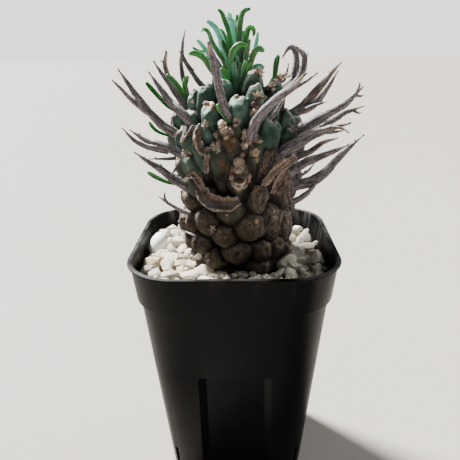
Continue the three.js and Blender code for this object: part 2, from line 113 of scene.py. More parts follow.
def clearSelection():
    if bpy.context.object and bpy.context.object.mode != "OBJECT":
        bpy.ops.object.mode_set(mode="OBJECT")
    bpy.ops.object.select_all(action="DESELECT")


def selectOnly(*pieces):
    # the first one becomes the active object
    clearSelection()
    for piece in pieces:
        piece.select_set(True)
    bpy.context.view_layer.objects.active = pieces[0]


def applyModifier(piece, kind, **settings):
    modifier = piece.modifiers.new(kind.lower(), kind)
    for key, value in settings.items():
        setattr(modifier, key, value)
    bpy.context.view_layer.objects.active = piece
    bpy.ops.object.modifier_apply(modifier=modifier.name)


def readVectors(items, name):
    values = np.empty(len(items) * 3)
    items.foreach_get(name, values)
    return values.reshape(-1, 3)


def pointsAndNormals(mesh):
    return readVectors(mesh.vertices, "co") / mm, readVectors(mesh.vertex_normals, "vector")


def movePoints(mesh, points):
    mesh.vertices.foreach_set("co", (points * mm).ravel())
    mesh.update()


def takeShape(piece):
    # points in millimetres and faces of an object, which is then removed
    points = readVectors(piece.data.vertices, "co") / mm
    faces = [tuple(face.vertices) for face in piece.data.polygons]
    bpy.data.objects.remove(piece)
    return points, faces


def newShape(addPrimitive, **settings):
    clearSelection()
    addPrimitive(**settings)
    return takeShape(bpy.context.object)


def newGrid(across, along, size):
    clearSelection()
    bpy.ops.mesh.primitive_grid_add(x_subdivisions=across, y_subdivisions=along, size=size)
    return bpy.context.object


def endEditing():
    # the faces are turned outwards, and edit mode is left
    bpy.ops.mesh.select_all(action="SELECT")
    bpy.ops.mesh.normals_make_consistent(inside=False)
    bpy.ops.object.mode_set(mode="OBJECT")


def takeThickened(sheet, thickness):
    # a sheet is given its thickness, rounded, and taken as points and faces
    applyModifier(sheet, "SOLIDIFY", thickness=thickness * mm, offset=0)
    applyModifier(sheet, "SUBSURF", levels=1, render_levels=1)
    return takeShape(sheet)


def newPile():
    return {"points": [], "faces": [], "marks": {}, "count": 0}


def addToPile(pile, points, faces, **marks):
    # marks are one number for all points, or one number or one row of numbers for each
    start = pile["count"]
    pile["points"].append(points)
    pile["faces"].extend([tuple(start + corner for corner in face) for face in faces])
    pile["count"] += len(points)
    for name, values in marks.items():
        values = np.asarray(values, float)
        if values.ndim == 0:
            values = np.full(len(points), float(values))
        pile["marks"].setdefault(name, []).append(values)


def writeMark(mesh, name, values):
    kind = "FLOAT" if values.ndim == 1 else "FLOAT_VECTOR"
    attribute = mesh.attributes.new(name, kind, "POINT")
    attribute.data.foreach_set("value" if values.ndim == 1 else "vector", values.ravel())


def pieceFromPile(name, pile):
    mesh = bpy.data.meshes.new(name)
    mesh.from_pydata((np.concatenate(pile["points"]) * mm).tolist(), [], pile["faces"])
    piece = bpy.data.objects.new(name, mesh)
    bpy.context.scene.collection.objects.link(piece)
    for mark, values in pile["marks"].items():
        writeMark(mesh, mark, np.concatenate(values))
    return piece


def finishPiece(piece, material, node, angle=None):
    # with an angle, edges that are sharper than it stay crisp
    selectOnly(piece)
    if angle is None:
        bpy.ops.object.shade_smooth()
    else:
        bpy.ops.object.shade_smooth_by_angle(angle=math.radians(angle))
    piece.data.name = piece.name
    piece.data.materials.clear()
    piece.data.materials.append(material)
    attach(piece, "root")
    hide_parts(node)
    print(f"made {piece.name}: {len(piece.data.polygons)} faces")


# Materials: most of these functions find the node tree by a socket that they are given

def paint(code):
    # a linear colour from a hexadecimal one
    shares = [int(code[i:i + 2], 16) / 255 for i in (0, 2, 4)]
    return (*(((s + 0.055) / 1.055) ** 2.4 if s > 0.04 else s / 12.92 for s in shares), 1.0)


def put(tree, kind, inputs=None, **settings):
    # a node with its properties set, and each input set or linked
    made = tree.nodes.new(kind)
    for key, value in settings.items():
        setattr(made, key, value)
    for key, value in (inputs or {}).items():
        if isinstance(value, bpy.types.NodeSocket):
            tree.links.new(value, made.inputs[key])
        else:
            made.inputs[key].default_value = value
    return made


def markOf(tree, name, output="Fac"):
    return put(tree, "ShaderNodeAttribute", attribute_name=name).outputs[output]


def placeOf(tree):
    return put(tree, "ShaderNodeTexCoord").outputs["Object"]


def normalOf(tree):
    return put(tree, "ShaderNodeNewGeometry").outputs["Normal"]


def mixColour(factor, first, second):
    tree = (factor if isinstance(factor, bpy.types.NodeSocket) else first).id_data
    return put(tree, "ShaderNodeMix", {0: factor, 6: first, 7: second}, data_type="RGBA").outputs[2]


def rampOf(factor, stops):
    made = put(factor.id_data, "ShaderNodeValToRGB", {"Fac": factor})
    elements = made.color_ramp.elements
    while len(elements) < len(stops):
        elements.new(0.5)
    for element, (place, colour) in zip(elements, stops):
        element.position = place
        element.color = paint(colour)
    return made.outputs["Color"]


def rangeOf(value, low, high, toLow=0.0, toHigh=1.0):
    inputs = {"Value": value, "From Min": low, "From Max": high, "To Min": toLow, "To Max": toHigh}
    return put(value.id_data, "ShaderNodeMapRange", inputs).outputs["Result"]


def mathOf(operation, first, second):
    return put(first.id_data, "ShaderNodeMath", {0: first, 1: second}, operation=operation).outputs[0]


def times(first, second):
    return mathOf("MULTIPLY", first, second)


def plus(first, second):
    return mathOf("ADD", first, second)


def centred(value, width):
    # from minus to plus half the width, where the value is from 0 to 1
    return times(plus(value, -0.5), width)


def noiseOf(vector, scale, detail=4.0, roughness=0.55, output="Fac"):
    inputs = {"Vector": vector, "Scale": scale, "Detail": detail, "Roughness": roughness}
    return put(vector.id_data, "ShaderNodeTexNoise", inputs).outputs[output]


def cellsOf(vector, scale, feature="F1"):
    inputs = {"Vector": vector, "Scale": scale}
    return put(vector.id_data, "ShaderNodeTexVoronoi", inputs, feature=feature).outputs


def stretched(vector, *scale):
    return put(vector.id_data, "ShaderNodeMapping", {"Vector": vector, "Scale": scale}).outputs[0]


def upPart(vector):
    return put(vector.id_data, "ShaderNodeSeparateXYZ", {0: vector}).outputs["Z"]


def bumpOf(height, strength, distance):
    # the distance is in millimetres
    inputs = {"Height": height, "Strength": strength, "Distance": distance * mm}
    return put(height.id_data, "ShaderNodeBump", inputs).outputs["Normal"]


def newMaterial(name, constants):
    material = bpy.data.materials.new(name)
    material.use_nodes = True
    tree = material.node_tree
    tree.nodes.clear()
    shader = put(tree, "ShaderNodeBsdfPrincipled", constants)
    put(tree, "ShaderNodeOutputMaterial", {"Surface": shader.outputs[0]})
    return material, tree, shader


def feed(shader, **sockets):
    names = {"colour": "Base Color", "roughness": "Roughness", "normal": "Normal"}
    for key, socket in sockets.items():
        shader.id_data.links.new(socket, shader.inputs[names[key]])


def newGroup(name, numbers, result):
    # a vector and some numbers go in, and one number comes out
    group = bpy.data.node_groups.new(name, "ShaderNodeTree")
    group.interface.new_socket("Vector", in_out="INPUT", socket_type="NodeSocketVector")
    for number in numbers:
        group.interface.new_socket(number, in_out="INPUT", socket_type="NodeSocketFloat")
    group.interface.new_socket(result, in_out="OUTPUT", socket_type="NodeSocketFloat")
    return group, group.nodes.new("NodeGroupInput").outputs, group.nodes.new("NodeGroupOutput").inputs[0]


def makeMottle():
    # broad patches broken up by fine ones, from 0 to 1
    group, given, result = newGroup("mottle", ["Broad Scale", "Fine Scale", "Fine Share"], "Value")
    broad = noiseOf(given["Vector"], given["Broad Scale"], 3.0)
    fine = noiseOf(given["Vector"], given["Fine Scale"], 6.0, 0.65)
    both = put(group, "ShaderNodeMix", {0: given["Fine Share"], 2: broad, 3: fine}, data_type="FLOAT")
    group.links.new(rangeOf(both.outputs[0], 0.3, 0.7), result)
    return group


def makeSettledAndLit():
    # where dust or bloom settles, or a painted highlight falls: on faces that look up, in patches
    group, given, result = newGroup("settledAndLit", ["Scale", "Lowest Tilt"], "Mask")
    facing = rangeOf(upPart(normalOf(group)), given["Lowest Tilt"], 1.0)
    patches = rangeOf(noiseOf(given["Vector"], given["Scale"]), 0.35, 0.65)
    group.links.new(times(facing, patches), result)
    return group


mottle = makeMottle()
settledAndLit = makeSettledAndLit()


def mottled(vector, broad, fine, share):
    inputs = {"Vector": vector, "Broad Scale": broad, "Fine Scale": fine, "Fine Share": share}
    return put(vector.id_data, "ShaderNodeGroup", inputs, node_tree=mottle).outputs[0]


def settledAndLitOn(vector, scale, lowestTilt):
    inputs = {"Vector": vector, "Scale": scale, "Lowest Tilt": lowestTilt}
    return put(vector.id_data, "ShaderNodeGroup", inputs, node_tree=settledAndLit).outputs[0]


# Camera, floor and light

camera = {
    "place": (3.07, -204.07, 201.52),
    "pitch": 20.937,  # below level
    "yaw": -1.416,
    "roll": -0.992,
    "focalShare": 470 / 460,  # focal length over the picture's width
    "sensor": 36,
}


def makeCamera():
    pitch, yaw, roll = (math.radians(camera[key]) for key in ("pitch", "yaw", "roll"))
    ahead = np.array([math.sin(yaw) * math.cos(pitch), math.cos(yaw) * math.cos(pitch), -math.sin(pitch)])
    level = np.array([math.cos(yaw), -math.sin(yaw), 0.0])
    above = np.cross(level, ahead)
    right = level * math.cos(roll) + above * math.sin(roll)
    up = -level * math.sin(roll) + above * math.cos(roll)
    data = bpy.data.cameras.new("camera")
    data.sensor_width = camera["sensor"]
    data.lens = camera["sensor"] * camera["focalShare"]
    data.clip_start = 0.01
    eye = bpy.data.objects.new("camera", data)
    bpy.context.scene.collection.objects.link(eye)
    turn = Matrix((right, up, -ahead)).transposed()
    eye.matrix_world = Matrix.Translation(Vector(camera["place"]) * mm) @ turn.to_4x4()
    bpy.context.scene.camera = eye


# name: kind, place, what it shines at, power, colour, and a sun's spread, or a lamp's size in metres
lamps = {
    "key": ("SUN", (-300, 260, 430), (0, 0, 0), 27.0, (1.0, 0.97, 0.92), {"angle": math.radians(11)}),
    "front": ("AREA", (60, -620, 460), (0, 0, 130), 0.6, (0.95, 0.97, 1.0), {"size": 0.5}),
    "right": ("AREA", (560, 200, 420), (0, 0, 130), 4.0, (1.0, 0.98, 0.95), {"size": 0.3}),
}
room = {
    "floorSize": 24000, "floorTones": [(0, "918d88"), (1, "98948f")],
    # the sky lights the plant, and the surround is what the camera sees instead
    "sky": {"Color": (0.88, 0.94, 1.0, 1), "Strength": 0.11},
    "surround": {"Color": (1.0, 0.972, 0.935, 1), "Strength": 1.95},
}


def makeFloor():
    clearSelection()
    bpy.ops.mesh.primitive_plane_add(size=room["floorSize"] * mm)
    floor = bpy.context.object
    floor.name = "floor"
    material, tree, shader = newMaterial("paleFloor", {"Roughness": 0.75, "Specular IOR Level": 0.25})
    feed(shader, colour=rampOf(mottled(placeOf(tree), 6.0, 60.0, 0.4), room["floorTones"]))
    floor.data.materials.append(material)


def makeLamps():
    for name, (kind, place, aim, power, colour, extent) in lamps.items():
        data = bpy.data.lights.new(name, kind)
        data.energy = power
        data.color = colour
        for key, value in extent.items():
            setattr(data, key, value)
        lamp = bpy.data.objects.new(name, data)
        bpy.context.scene.collection.objects.link(lamp)
        lamp.location = Vector(place) * mm
        lamp.rotation_euler = (Vector(place) - Vector(aim)).to_track_quat("Z", "Y").to_euler()


def makeWorld():
    world = bpy.data.worlds.new("softRoom")
    bpy.context.scene.world = world
    world.use_nodes = True
    tree = world.node_tree
    tree.nodes.clear()
    sky = put(tree, "ShaderNodeBackground", room["sky"])
    surround = put(tree, "ShaderNodeBackground", room["surround"])
    seen = put(tree, "ShaderNodeLightPath").outputs["Is Camera Ray"]
    both = put(tree, "ShaderNodeMixShader", {0: seen, 1: sky.outputs[0], 2: surround.outputs[0]})
    put(tree, "ShaderNodeOutputWorld", {"Surface": both.outputs[0]})


makeCamera()
makeFloor()
makeLamps()
makeWorld()
print("camera, floor and light are set")


# The pot

pot = {
    "height": 120, "rimHalf": 45, "rimCorner": 22.5, "lipDepth": 1.3, "lipOverhang": 1,
    "lipRise": 0.4, "lipInset": 0.5, "mouthRound": 0.3,
    "collarBottom": 102.2, "collarHalf": 42.2, "collarCorner": 21,
    "shoulderHalf": 40.8, "shoulderCorner": 20, "stepHeight": 0.6,
    "baseHalf": 30.6, "baseCorner": 10.8, "wall": 1.2, "floor": 2,
    "cornerSegments": 12, "edgeRound": 0.3, "edgeAngle": 24, "creaseAngle": 30,
}
channel = {"top": 68.3, "halfWidth": 16, "halfFloor": 12.8, "depthTop": 2.4, "depthBottom": 3.6, "ledge": 0.9}
cornerSlit = {"width": 2.2, "length": 16, "top": 22, "below": 1}
drainHole = {"radius": 3, "ring": 17, "count": 8, "sides": 24}


def bodyAt(height):
    # half width and corner radius of the tapering part
    share = height / pot["collarBottom"]
    half = mix(pot["baseHalf"], pot["shoulderHalf"], share)
    return half, mix(pot["baseCorner"], pot["shoulderCorner"], share)


def collarAt(height):
    share = (height - pot["collarBottom"]) / (pot["height"] - pot["collarBottom"])
    half = mix(pot["collarHalf"], pot["rimHalf"] - pot["lipOverhang"], share)
    return half, mix(pot["collarCorner"], pot["rimCorner"] - pot["lipOverhang"], share)


def selectLevelEdges(mesh, *heights):
    # in object mode: the edges that lie level at one of the heights, and nothing else
    for group in (mesh.polygons, mesh.edges, mesh.vertices):
        group.foreach_set("select", [False] * len(group))
    for edge in mesh.edges:
        ends = [mesh.vertices[v].co.z for v in edge.vertices]
        edge.select = any(all(abs(z - height * mm) < 1e-7 for z in ends) for height in heights)


def roundSquare(corner):
    # in edit mode: the selected square gets round corners and loses its face
    bpy.ops.mesh.bevel(offset=corner * mm, segments=pot["cornerSegments"], affect="VERTICES")
    bpy.ops.mesh.delete(type="ONLY_FACE")


def potWall(name, loops):
    # a wall through rounded squares, each given as (height, half width, corner radius)
    clearSelection()
    height, half, corner = loops[0]
    bpy.ops.mesh.primitive_plane_add(size=2 * half * mm, location=(0, 0, height * mm))
    shell = bpy.context.object
    shell.name = name
    bpy.ops.object.transform_apply()
    bpy.ops.object.mode_set(mode="EDIT")
    roundSquare(corner)
    for height, half, corner in loops[1:]:
        bpy.ops.mesh.select_all(action="DESELECT")
        bpy.ops.mesh.primitive_plane_add(size=2 * half * mm, location=(0, 0, height * mm))
        roundSquare(corner)
    for lower, upper in zip(loops, loops[1:]):
        bpy.ops.object.mode_set(mode="OBJECT")
        selectLevelEdges(shell.data, lower[0], upper[0])
        bpy.ops.object.mode_set(mode="EDIT")
        bpy.ops.mesh.bridge_edge_loops()
    return shell


def pressChannels(shell, margin):
    # the channel's edges are cut in, and its floor is pushed inwards, deeper towards the bottom
    halves = (channel["halfWidth"], channel["halfFloor"])
    for axis, half, sign in [(axis, half, sign) for axis in (0, 1) for half in halves for sign in (-1, 1)]:
        normal = [0, 0, 0]
        normal[axis] = 1
        bpy.ops.mesh.select_all(action="SELECT")
        place = [c * sign * (half + margin) * mm for c in normal]
        bpy.ops.mesh.bisect(plane_co=place, plane_no=normal)
    bpy.ops.object.mode_set(mode="OBJECT")
    spare = margin + 0.01
    for point in shell.data.vertices:
        height = point.co.z / mm
        if height > channel["top"] + spare:
            continue
        depth = mix(channel["depthBottom"], channel["depthTop"], height / channel["top"])
        for axis, across in ((0, 1), (1, 0)):
            if abs(point.co[across]) <= (channel["halfFloor"] + spare) * mm:
                point.co[axis] -= math.copysign(depth * mm, point.co[axis])


def makePotPlastic():
    material, tree, shader = newMaterial("blackPotPlastic", {"Specular IOR Level": 0.05})
    place = placeOf(tree)
    cloud = mottled(place, 18.0, 140.0, 0.35)
    base = rampOf(cloud, [(0, "060505"), (1, "0c0b0a")])
    # faint grey runs below the rim, fainter inside the pot
    streaks = rangeOf(noiseOf(stretched(place, 1, 1, 0.09), 190.0, 5.0, 0.6), 0.5, 0.78)
    nearRim = rangeOf(upPart(place), 0.108, 0.119)
    level = put(tree, "ShaderNodeVectorMath", {0: place, 1: (1, 1, 0)}, operation="MULTIPLY").outputs[0]
    outside = put(tree, "ShaderNodeVectorMath", {0: level, 1: normalOf(tree)}, operation="DOT_PRODUCT")
    inner = rangeOf(outside.outputs["Value"], -0.01, 0.01, 0.6, 0.08)
    runs = times(streaks, times(nearRim, inner))
    dusty = mathOf("MAXIMUM", runs, times(settledAndLitOn(place, 90.0, 0.25), 0.3))
    scratches = rangeOf(cellsOf(place, 60.0, "DISTANCE_TO_EDGE")["Distance"], 0.0, 0.012, 1.0, 0.0)
    relief = plus(times(noiseOf(place, 900.0, 3.0), 0.6), times(scratches, 0.25))
    feed(shader, colour=mixColour(dusty, base, paint("737577")),
         roughness=plus(rangeOf(cloud, 0.0, 1.0, 0.34, 0.5), times(dusty, 0.4)),
         normal=bumpOf(relief, 0.25, 0.12))
    return material


def makeCutters():
    # one object with the slits' blocks and the drain holes' rods
    cutters = []
    top, below = cornerSlit["top"], cornerSlit["below"]
    reach = (pot["baseHalf"] - pot["baseCorner"]) * math.sqrt(2) + pot["baseCorner"]
    for corner in range(4):
        a = math.radians(45 + 90 * corner)
        place = Vector((math.cos(a) * reach, math.sin(a) * reach, (top - below) / 2)) * mm
        clearSelection()
        bpy.ops.mesh.primitive_cube_add(size=1, location=place, rotation=(0, 0, a))
        slit = bpy.context.object
        slit.scale = (cornerSlit["length"] * mm, cornerSlit["width"] * mm, (top + below) * mm)
        cutters.append(slit)
    ring, count = drainHole["ring"], drainHole["count"]
    for i in range(count):
        a = 2 * math.pi * (i + 0.5) / count
        place = (math.cos(a) * ring * mm, math.sin(a) * ring * mm, pot["floor"] * mm)
        bpy.ops.mesh.primitive_cylinder_add(vertices=drainHole["sides"], radius=drainHole["radius"] * mm,
                                            depth=pot["floor"] * 3 * mm, location=place)
        cutters.append(bpy.context.object)
    selectOnly(*cutters)
    bpy.ops.object.join()
    return cutters[0]


def makePot():
    wall = pot["wall"]
    rim = (pot["rimHalf"], pot["rimCorner"])
    rimBottom = pot["height"] - pot["lipDepth"]
    ledgeTop = channel["top"] + channel["ledge"]
    stepTop = pot["collarBottom"] + pot["stepHeight"]
    outside = potWall("potShell", [
        (0, *bodyAt(0)),
        (channel["top"], *bodyAt(channel["top"])),
        (ledgeTop, *bodyAt(ledgeTop)),
        (pot["collarBottom"], *bodyAt(pot["collarBottom"])),
        (stepTop, *collarAt(stepTop)),
        (rimBottom, *collarAt(rimBottom)),
        (rimBottom + pot["lipRise"], *rim),
        (pot["height"] - pot["lipRise"], *rim),
        (pot["height"], rim[0] - pot["lipInset"], rim[1] - pot["lipInset"]),
    ])
    pressChannels(outside, 0)
    mouth = collarAt(pot["height"])
    inside = potWall("potInside", [(height, half - wall, corner - wall) for height, half, corner in [
        (pot["floor"], *bodyAt(pot["floor"])),
        (channel["top"] + wall, *bodyAt(channel["top"] + wall)),
        (ledgeTop + wall, *bodyAt(ledgeTop + wall)),
        (pot["collarBottom"], *bodyAt(pot["collarBottom"])),
        (stepTop, *collarAt(stepTop)),
        (pot["height"] - pot["mouthRound"], *mouth),
        (pot["height"], mouth[0] + pot["mouthRound"], mouth[1] + pot["mouthRound"]),
    ]])
    pressChannels(inside, wall)
    selectOnly(outside, inside)
    bpy.ops.object.join()
    # the floor is filled below and above, and the walls are joined along the top
    fill, join = bpy.ops.mesh.edge_face_add, bpy.ops.mesh.bridge_edge_loops
    for height, close in ((0, fill), (pot["floor"], fill), (pot["height"], join)):
        selectLevelEdges(outside.data, height)
        bpy.ops.object.mode_set(mode="EDIT")
        close()
        endEditing()
    applyModifier(outside, "BEVEL", width=pot["edgeRound"] * mm, segments=2, limit_method="ANGLE",
                  angle_limit=math.radians(pot["edgeAngle"]))
    cutter = makeCutters()
    applyModifier(outside, "BOOLEAN", operation="DIFFERENCE", object=cutter, solver="EXACT")
    bpy.data.objects.remove(cutter)
    finishPiece(outside, makePotPlastic(), "pot", pot["creaseAngle"])


makePot()


# The soil, which shows through the slits and the drain holes

def makeSoilMix():
    material, tree, shader = newMaterial("soilMix", {"Roughness": 0.95, "Specular IOR Level": 0.2})
    place = placeOf(tree)
    crumbs = cellsOf(place, 420.0)
    tone = mixColour(0.5, crumbs["Color"], noiseOf(place, 260.0, 5.0, output="Color"))
    grey = put(tree, "ShaderNodeRGBToBW", {0: tone}).outputs[0]
    feed(shader, colour=rampOf(grey, [(0.3, "1d140d"), (0.5, "3a2a1d"), (0.66, "5b4632"), (0.8, "9a8768")]),
         normal=bumpOf(crumbs["Distance"], 0.9, 1.2))
    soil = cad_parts["potting_mix"]
    soil.data.materials.clear()
    soil.data.materials.append(material)


makeSoilMix()
print("soil is finished")


# The pumice

gravel = {
    "seed": 7,
    "bottom": 106.3,
    "level": 113.6,  # highest grain tops beside the stem
    "heap": 2.6,  # how much higher it lies at the left and right
    "heapStart": 20, "heapSpread": 18, "heapTurn": 0.25,
    "frontDip": 1.8, "dipReach": 40,
    "hollow": {"x": 19, "y": -18, "radius": 9, "depth": 3.5},
    "roll": 0.8, "rollScale": 14.0,
    "reach": 41.2, "reachCorner": 20, "stemRadius": 20.5,
    "tries": 16,
    # radius of a grain, and how many are dropped
    "sizes": [(4.6, 120), (3.8, 150), (2.9, 170), (2.1, 170), (1.4, 200)], "sizeRange": (0.8, 1.12),
    # as shares of a grain's radius: how near it comes to the wall, the stem and the pebble
    "nearWall": 0.9, "nearStem": 0.45, "nearPebble": 0.85,
    # how close grains lie, how far one sinks between others, and how it lies at the bottom and top
    "touch": 0.84, "nest": 0.8, "onBottom": 0.6, "belowTop": 0.55,
    # grains that lie deeper than this, or are smaller, have few faces
    "shownDepth": 4.5, "fineBelow": 2.3,
    "tilt": 1.2, "creaseAngle": 24,
}
grainShape = {
    "count": 7, "flats": 11, "flatDepth": (0.52, 0.8), "size": 1.16, "bumps": 0.16, "bumpScale": 2.2,
    "stretch": [(1.0, 1.35), (0.8, 1.0), (0.66, 0.9)],
    "smallStretch": [(1.0, 1.4), (0.8, 1.0), (0.6, 0.85)], "smallCorners": (0.82, 1.15),
}
pebble = {
    "x": -37, "y": 5.5, "z": 114.6, "length": 12.5, "width": 8.4, "thickness": 7, "turn": 58, "lift": 42,
    "slimmer": 0.28, "underside": 0.86, "dents": 0.05, "dentScale": 2.4, "segments": 40, "rings": 24,
}


def makeGrainShape(n):
    # one rounded angular grain: a ball with flats ground on it
    points, faces = newShape(bpy.ops.mesh.primitive_ico_sphere_add, subdivisions=2, radius=mm)
    for flat in range(grainShape["flats"]):
        normal = unit(np.array([sway(1, n, 200 + 3 * flat + k) for k in range(3)]))
        depth = drawBetween(*grainShape["flatDepth"], n, 240 + flat)
        points = points - np.outer(np.maximum(0, points @ normal - depth), normal)
    stretch = np.array([drawBetween(*ends, n, 252 + k) for k, ends in enumerate(grainShape["stretch"])])
    bumps = grainShape["size"] + grainShape["bumps"] * waves(points * grainShape["bumpScale"], 1.0, n + 0.5)
    return points * stretch * bumps[:, None], faces


def makeSmallGrainShape(n):
    # the same with few faces, for the small grains and those that are mostly covered
    points, faces = newShape(bpy.ops.mesh.primitive_ico_sphere_add, subdivisions=1, radius=mm)
    scale = np.array([drawBetween(*grainShape["smallCorners"], n * 61 + i, 250) for i in range(len(points))])
    stretch = np.array([drawBetween(*ends, n, 243 + k) for k, ends in enumerate(grainShape["smallStretch"])])
    return points * stretch * scale[:, None], faces


def insideWall(x, y, radius):
    corner = gravel["reachCorner"]
    straight = gravel["reach"] - radius * gravel["nearWall"] - corner
    return math.hypot(max(0, abs(x) - straight), max(0, abs(y) - straight)) < corner


def gravelTop(x, y):
    away = clamp((math.hypot(x - stem["x"], y) - gravel["heapStart"]) / gravel["heapSpread"])
    heap = gravel["heap"] * away * max(0, math.cos(2 * math.atan2(y, x)) + gravel["heapTurn"])
    dip = gravel["frontDip"] * away * max(0, -y / gravel["dipReach"])
    hollow = gravel["hollow"]
    dip += hollow["depth"] * math.exp(-(math.hypot(x - hollow["x"], y - hollow["y"]) / hollow["radius"]) ** 2)
    return gravel["level"] + heap - dip + gravel["roll"] * wave((x, y, 0), gravel["rollScale"], 3)


def dropGrains():
    # each grain falls where it comes to rest lowest among a few tries, on the ones below it
    rng = np.random.default_rng(gravel["seed"])
    spots = np.zeros((0, 4))
    stone = np.array([pebble["x"], pebble["y"], pebble["z"], (pebble["length"] + pebble["width"]) / 4])
    for size in [size for size, count in gravel["sizes"] for _ in range(count)]:
        radius = size * rng.uniform(*gravel["sizeRange"])
        best = None
        for _ in range(gravel["tries"]):
            x, y = rng.uniform(-gravel["reach"], gravel["reach"], 2)
            fromStem = math.hypot(x - stem["x"], y)
            if fromStem < gravel["stemRadius"] + radius * gravel["nearStem"] or not insideWall(x, y, radius):
                continue
            gap = np.hypot(spots[:, 0] - x, spots[:, 1] - y)
            touch = (spots[:, 3] + radius) * gravel["touch"]
            under = gap < touch
            z = gravel["bottom"] + radius * gravel["onBottom"]
            if under.any():
                lift = np.sqrt(touch[under] ** 2 - gap[under] ** 2) * gravel["nest"]
                z = max(z, (spots[under, 2] + lift).max())
            if best is None or z < best[2]:
                best = (x, y, z)
        if best is None or best[2] + radius * gravel["belowTop"] > gravelTop(best[0], best[1]):
            continue
        if np.linalg.norm(np.array(best) - stone[:3]) < stone[3] + radius * gravel["nearPebble"]:
            continue
        spots = np.vstack([spots, [*best, radius]])
    return spots


def makePumiceStone():
    material, tree, shader = newMaterial("pumice", {"Roughness": 0.9, "Specular IOR Level": 0.25})
    place = placeOf(tree)
    body = rampOf(markOf(tree, "tone"), [(0, "7f7b73"), (0.2, "ada79a"), (0.5, "c9c0aa"), (0.85, "dbd4c3"),
                                         (1, "c0aa86")])
    light = mixColour(rangeOf(mottled(place, 240.0, 1400.0, 0.5), 0.2, 1, 0, 0.5), body, paint("f3efe3"))
    pitted = rangeOf(cellsOf(place, 1100.0)["Distance"], 0.12, 0.3, 1.0, 0.0)
    # painted shade in some of the pits
    dark = times(times(pitted, rangeOf(noiseOf(place, 500.0), 0.5, 0.62)), 0.7)
    relief = plus(noiseOf(place, 900.0, 6.0, 0.7), times(pitted, -0.5))
    feed(shader, colour=mixColour(dark, light, paint("5d5040")), normal=bumpOf(relief, 1.0, 0.9))
    return material


def makePumice():
    shapes = [makeGrainShape(n) for n in range(grainShape["count"])]
    small = [makeSmallGrainShape(n) for n in range(grainShape["count"])]
    pile = newPile()
    for n, (x, y, z, radius) in enumerate(dropGrains()):
        shown = z + radius > gravelTop(x, y) - gravel["shownDepth"] and radius > gravel["fineBelow"]
        points, faces = (shapes if shown else small)[n % grainShape["count"]]
        turn = Matrix.Rotation(draw(n, 260) * fullTurn, 3, "Z")
        turn = turn @ Matrix.Rotation(sway(gravel["tilt"], n, 261), 3, "X")
        turn = turn @ Matrix.Rotation(draw(n, 262) * fullTurn, 3, "Z")
        addToPile(pile, points @ np.array(turn).T * radius + [x, y, z], faces, tone=draw(n, 263))
    grains = pieceFromPile("pumiceGrains", pile)
    finishPiece(grains, makePumiceStone(), "pumice_gravel", gravel["creaseAngle"])


def makePebbleStone():
    material, tree, shader = newMaterial("pebbleStone", {"Specular IOR Level": 0.4, "Subsurface Weight": 0.15,
                                                         "Subsurface Scale": 0.002})
    place = placeOf(tree)
    veins = mottled(place, 160.0, 900.0, 0.4)
    feed(shader, colour=rampOf(veins, [(0, "d0dde9"), (0.4, "e9f2f8"), (1, "fcfeff")]),
         roughness=rangeOf(veins, 0, 1, 0.5, 0.36), normal=bumpOf(noiseOf(place, 1300.0), 0.3, 0.15))
    return material


def makePebble():
    points, faces = newShape(bpy.ops.mesh.primitive_uv_sphere_add, segments=pebble["segments"],
                             ring_count=pebble["rings"], radius=0.5 * mm)
    # a blunt end, a slimmer end and a flatter underside
    points[:, 1] *= 1 + pebble["slimmer"] * points[:, 0]
    points[:, 2] *= np.where(points[:, 2] < 0, pebble["underside"], 1.0)
    points *= 1 + pebble["dents"] * waves(points * pebble["dentScale"], 1.0, 2)[:, None]
    points *= [pebble["length"], pebble["width"], pebble["thickness"]]
    turn = Matrix.Rotation(math.radians(pebble["turn"]), 3, "Z")
    turn = turn @ Matrix.Rotation(-math.radians(pebble["lift"]), 3, "Y")
    pile = newPile()
    addToPile(pile, points @ np.array(turn).T + [pebble["x"], pebble["y"], pebble["z"]], faces)
    finishPiece(pieceFromPile("whitePebble", pile), makePebbleStone(), "white_pebble")


# The stem's body

stem = {
    "x": 2.2,
    "core": [[84.5, 0.5], [92, 8], [100, 15.2], [108, 18.4], [130, 18.6], [150, 19], [163, 18.4],
             [172, 15.8], [179, 10.5], [183, 5.5]],
    "sides": 56, "voxel": 0.61, "smoothing": 0.5, "smoothTimes": 2,
}
stemAxis = np.array([stem["x"], 0, 0])
spiral = {
    "count": 96, "firstHeight": 110, "lastHeight": 182.5, "crowding": 0.2,
    "goldenAngle": 137.508, "firstSide": 196, "clearance": 7.6,
    "reach": [[100, 22], [112, 23.5], [122, 25], [132, 25.6], [142, 25.6], [152, 26.2], [166, 27],
              [175, 25.2], [185, 18.8], [191, 11.5], [195, 8]],
    "lean": [[109, 6], [125, 14], [140, 24], [152, 38], [165, 52], [175, 62], [185, 74]],
    "width": [[109, 10], [125, 11], [150, 9.6], [170, 8], [184, 6.8]],
    "tall": [[109, 9.4], [125, 11], [150, 10], [170, 8.6], [184, 7.4]],
    "length": [[109, 6.5], [125, 7.5], [150, 10.5], [166, 13], [180, 12], [190, 9]],
    # how far above the end the leaf's scar is: near the middle of a low tubercle, and higher on an upper one
    "scarLift": [[120, 0.4], [150, 1.2], [175, 1.6]],
    "leanLift": 2.5, "greenFrom": 138, "greenOver": 26, "smallest": 0.9, "sizeSpread": 0.2,
    "swaySide": 5, "swayHeight": 1.6, "swayReach": 1.4, "swayGreen": 0.7, "swayScar": 2.4,
}
# Shape of a tubercle in shares of its own size, where a pair is for a low one and for a high one
knob = {
    "segments": 36, "rings": 22, "size": 1.04,
    "highFrom": 138, "highOver": 22, "crownFrom": 185, "crownOver": 4,
    "blunt": (2.4, 4.2), "crownBlunt": 1.7,
    "keel": (0.25, 0.42), "backKeel": 0.35, "droop": (0.05, 0.16),
    "notch": (0.02, 0.09), "notchSway": 0.7, "notchWidth": 0.24, "notchLow": -0.4, "notchBelow": 0.3,
    "rough": 0.09, "roughScale": 4.2,
}
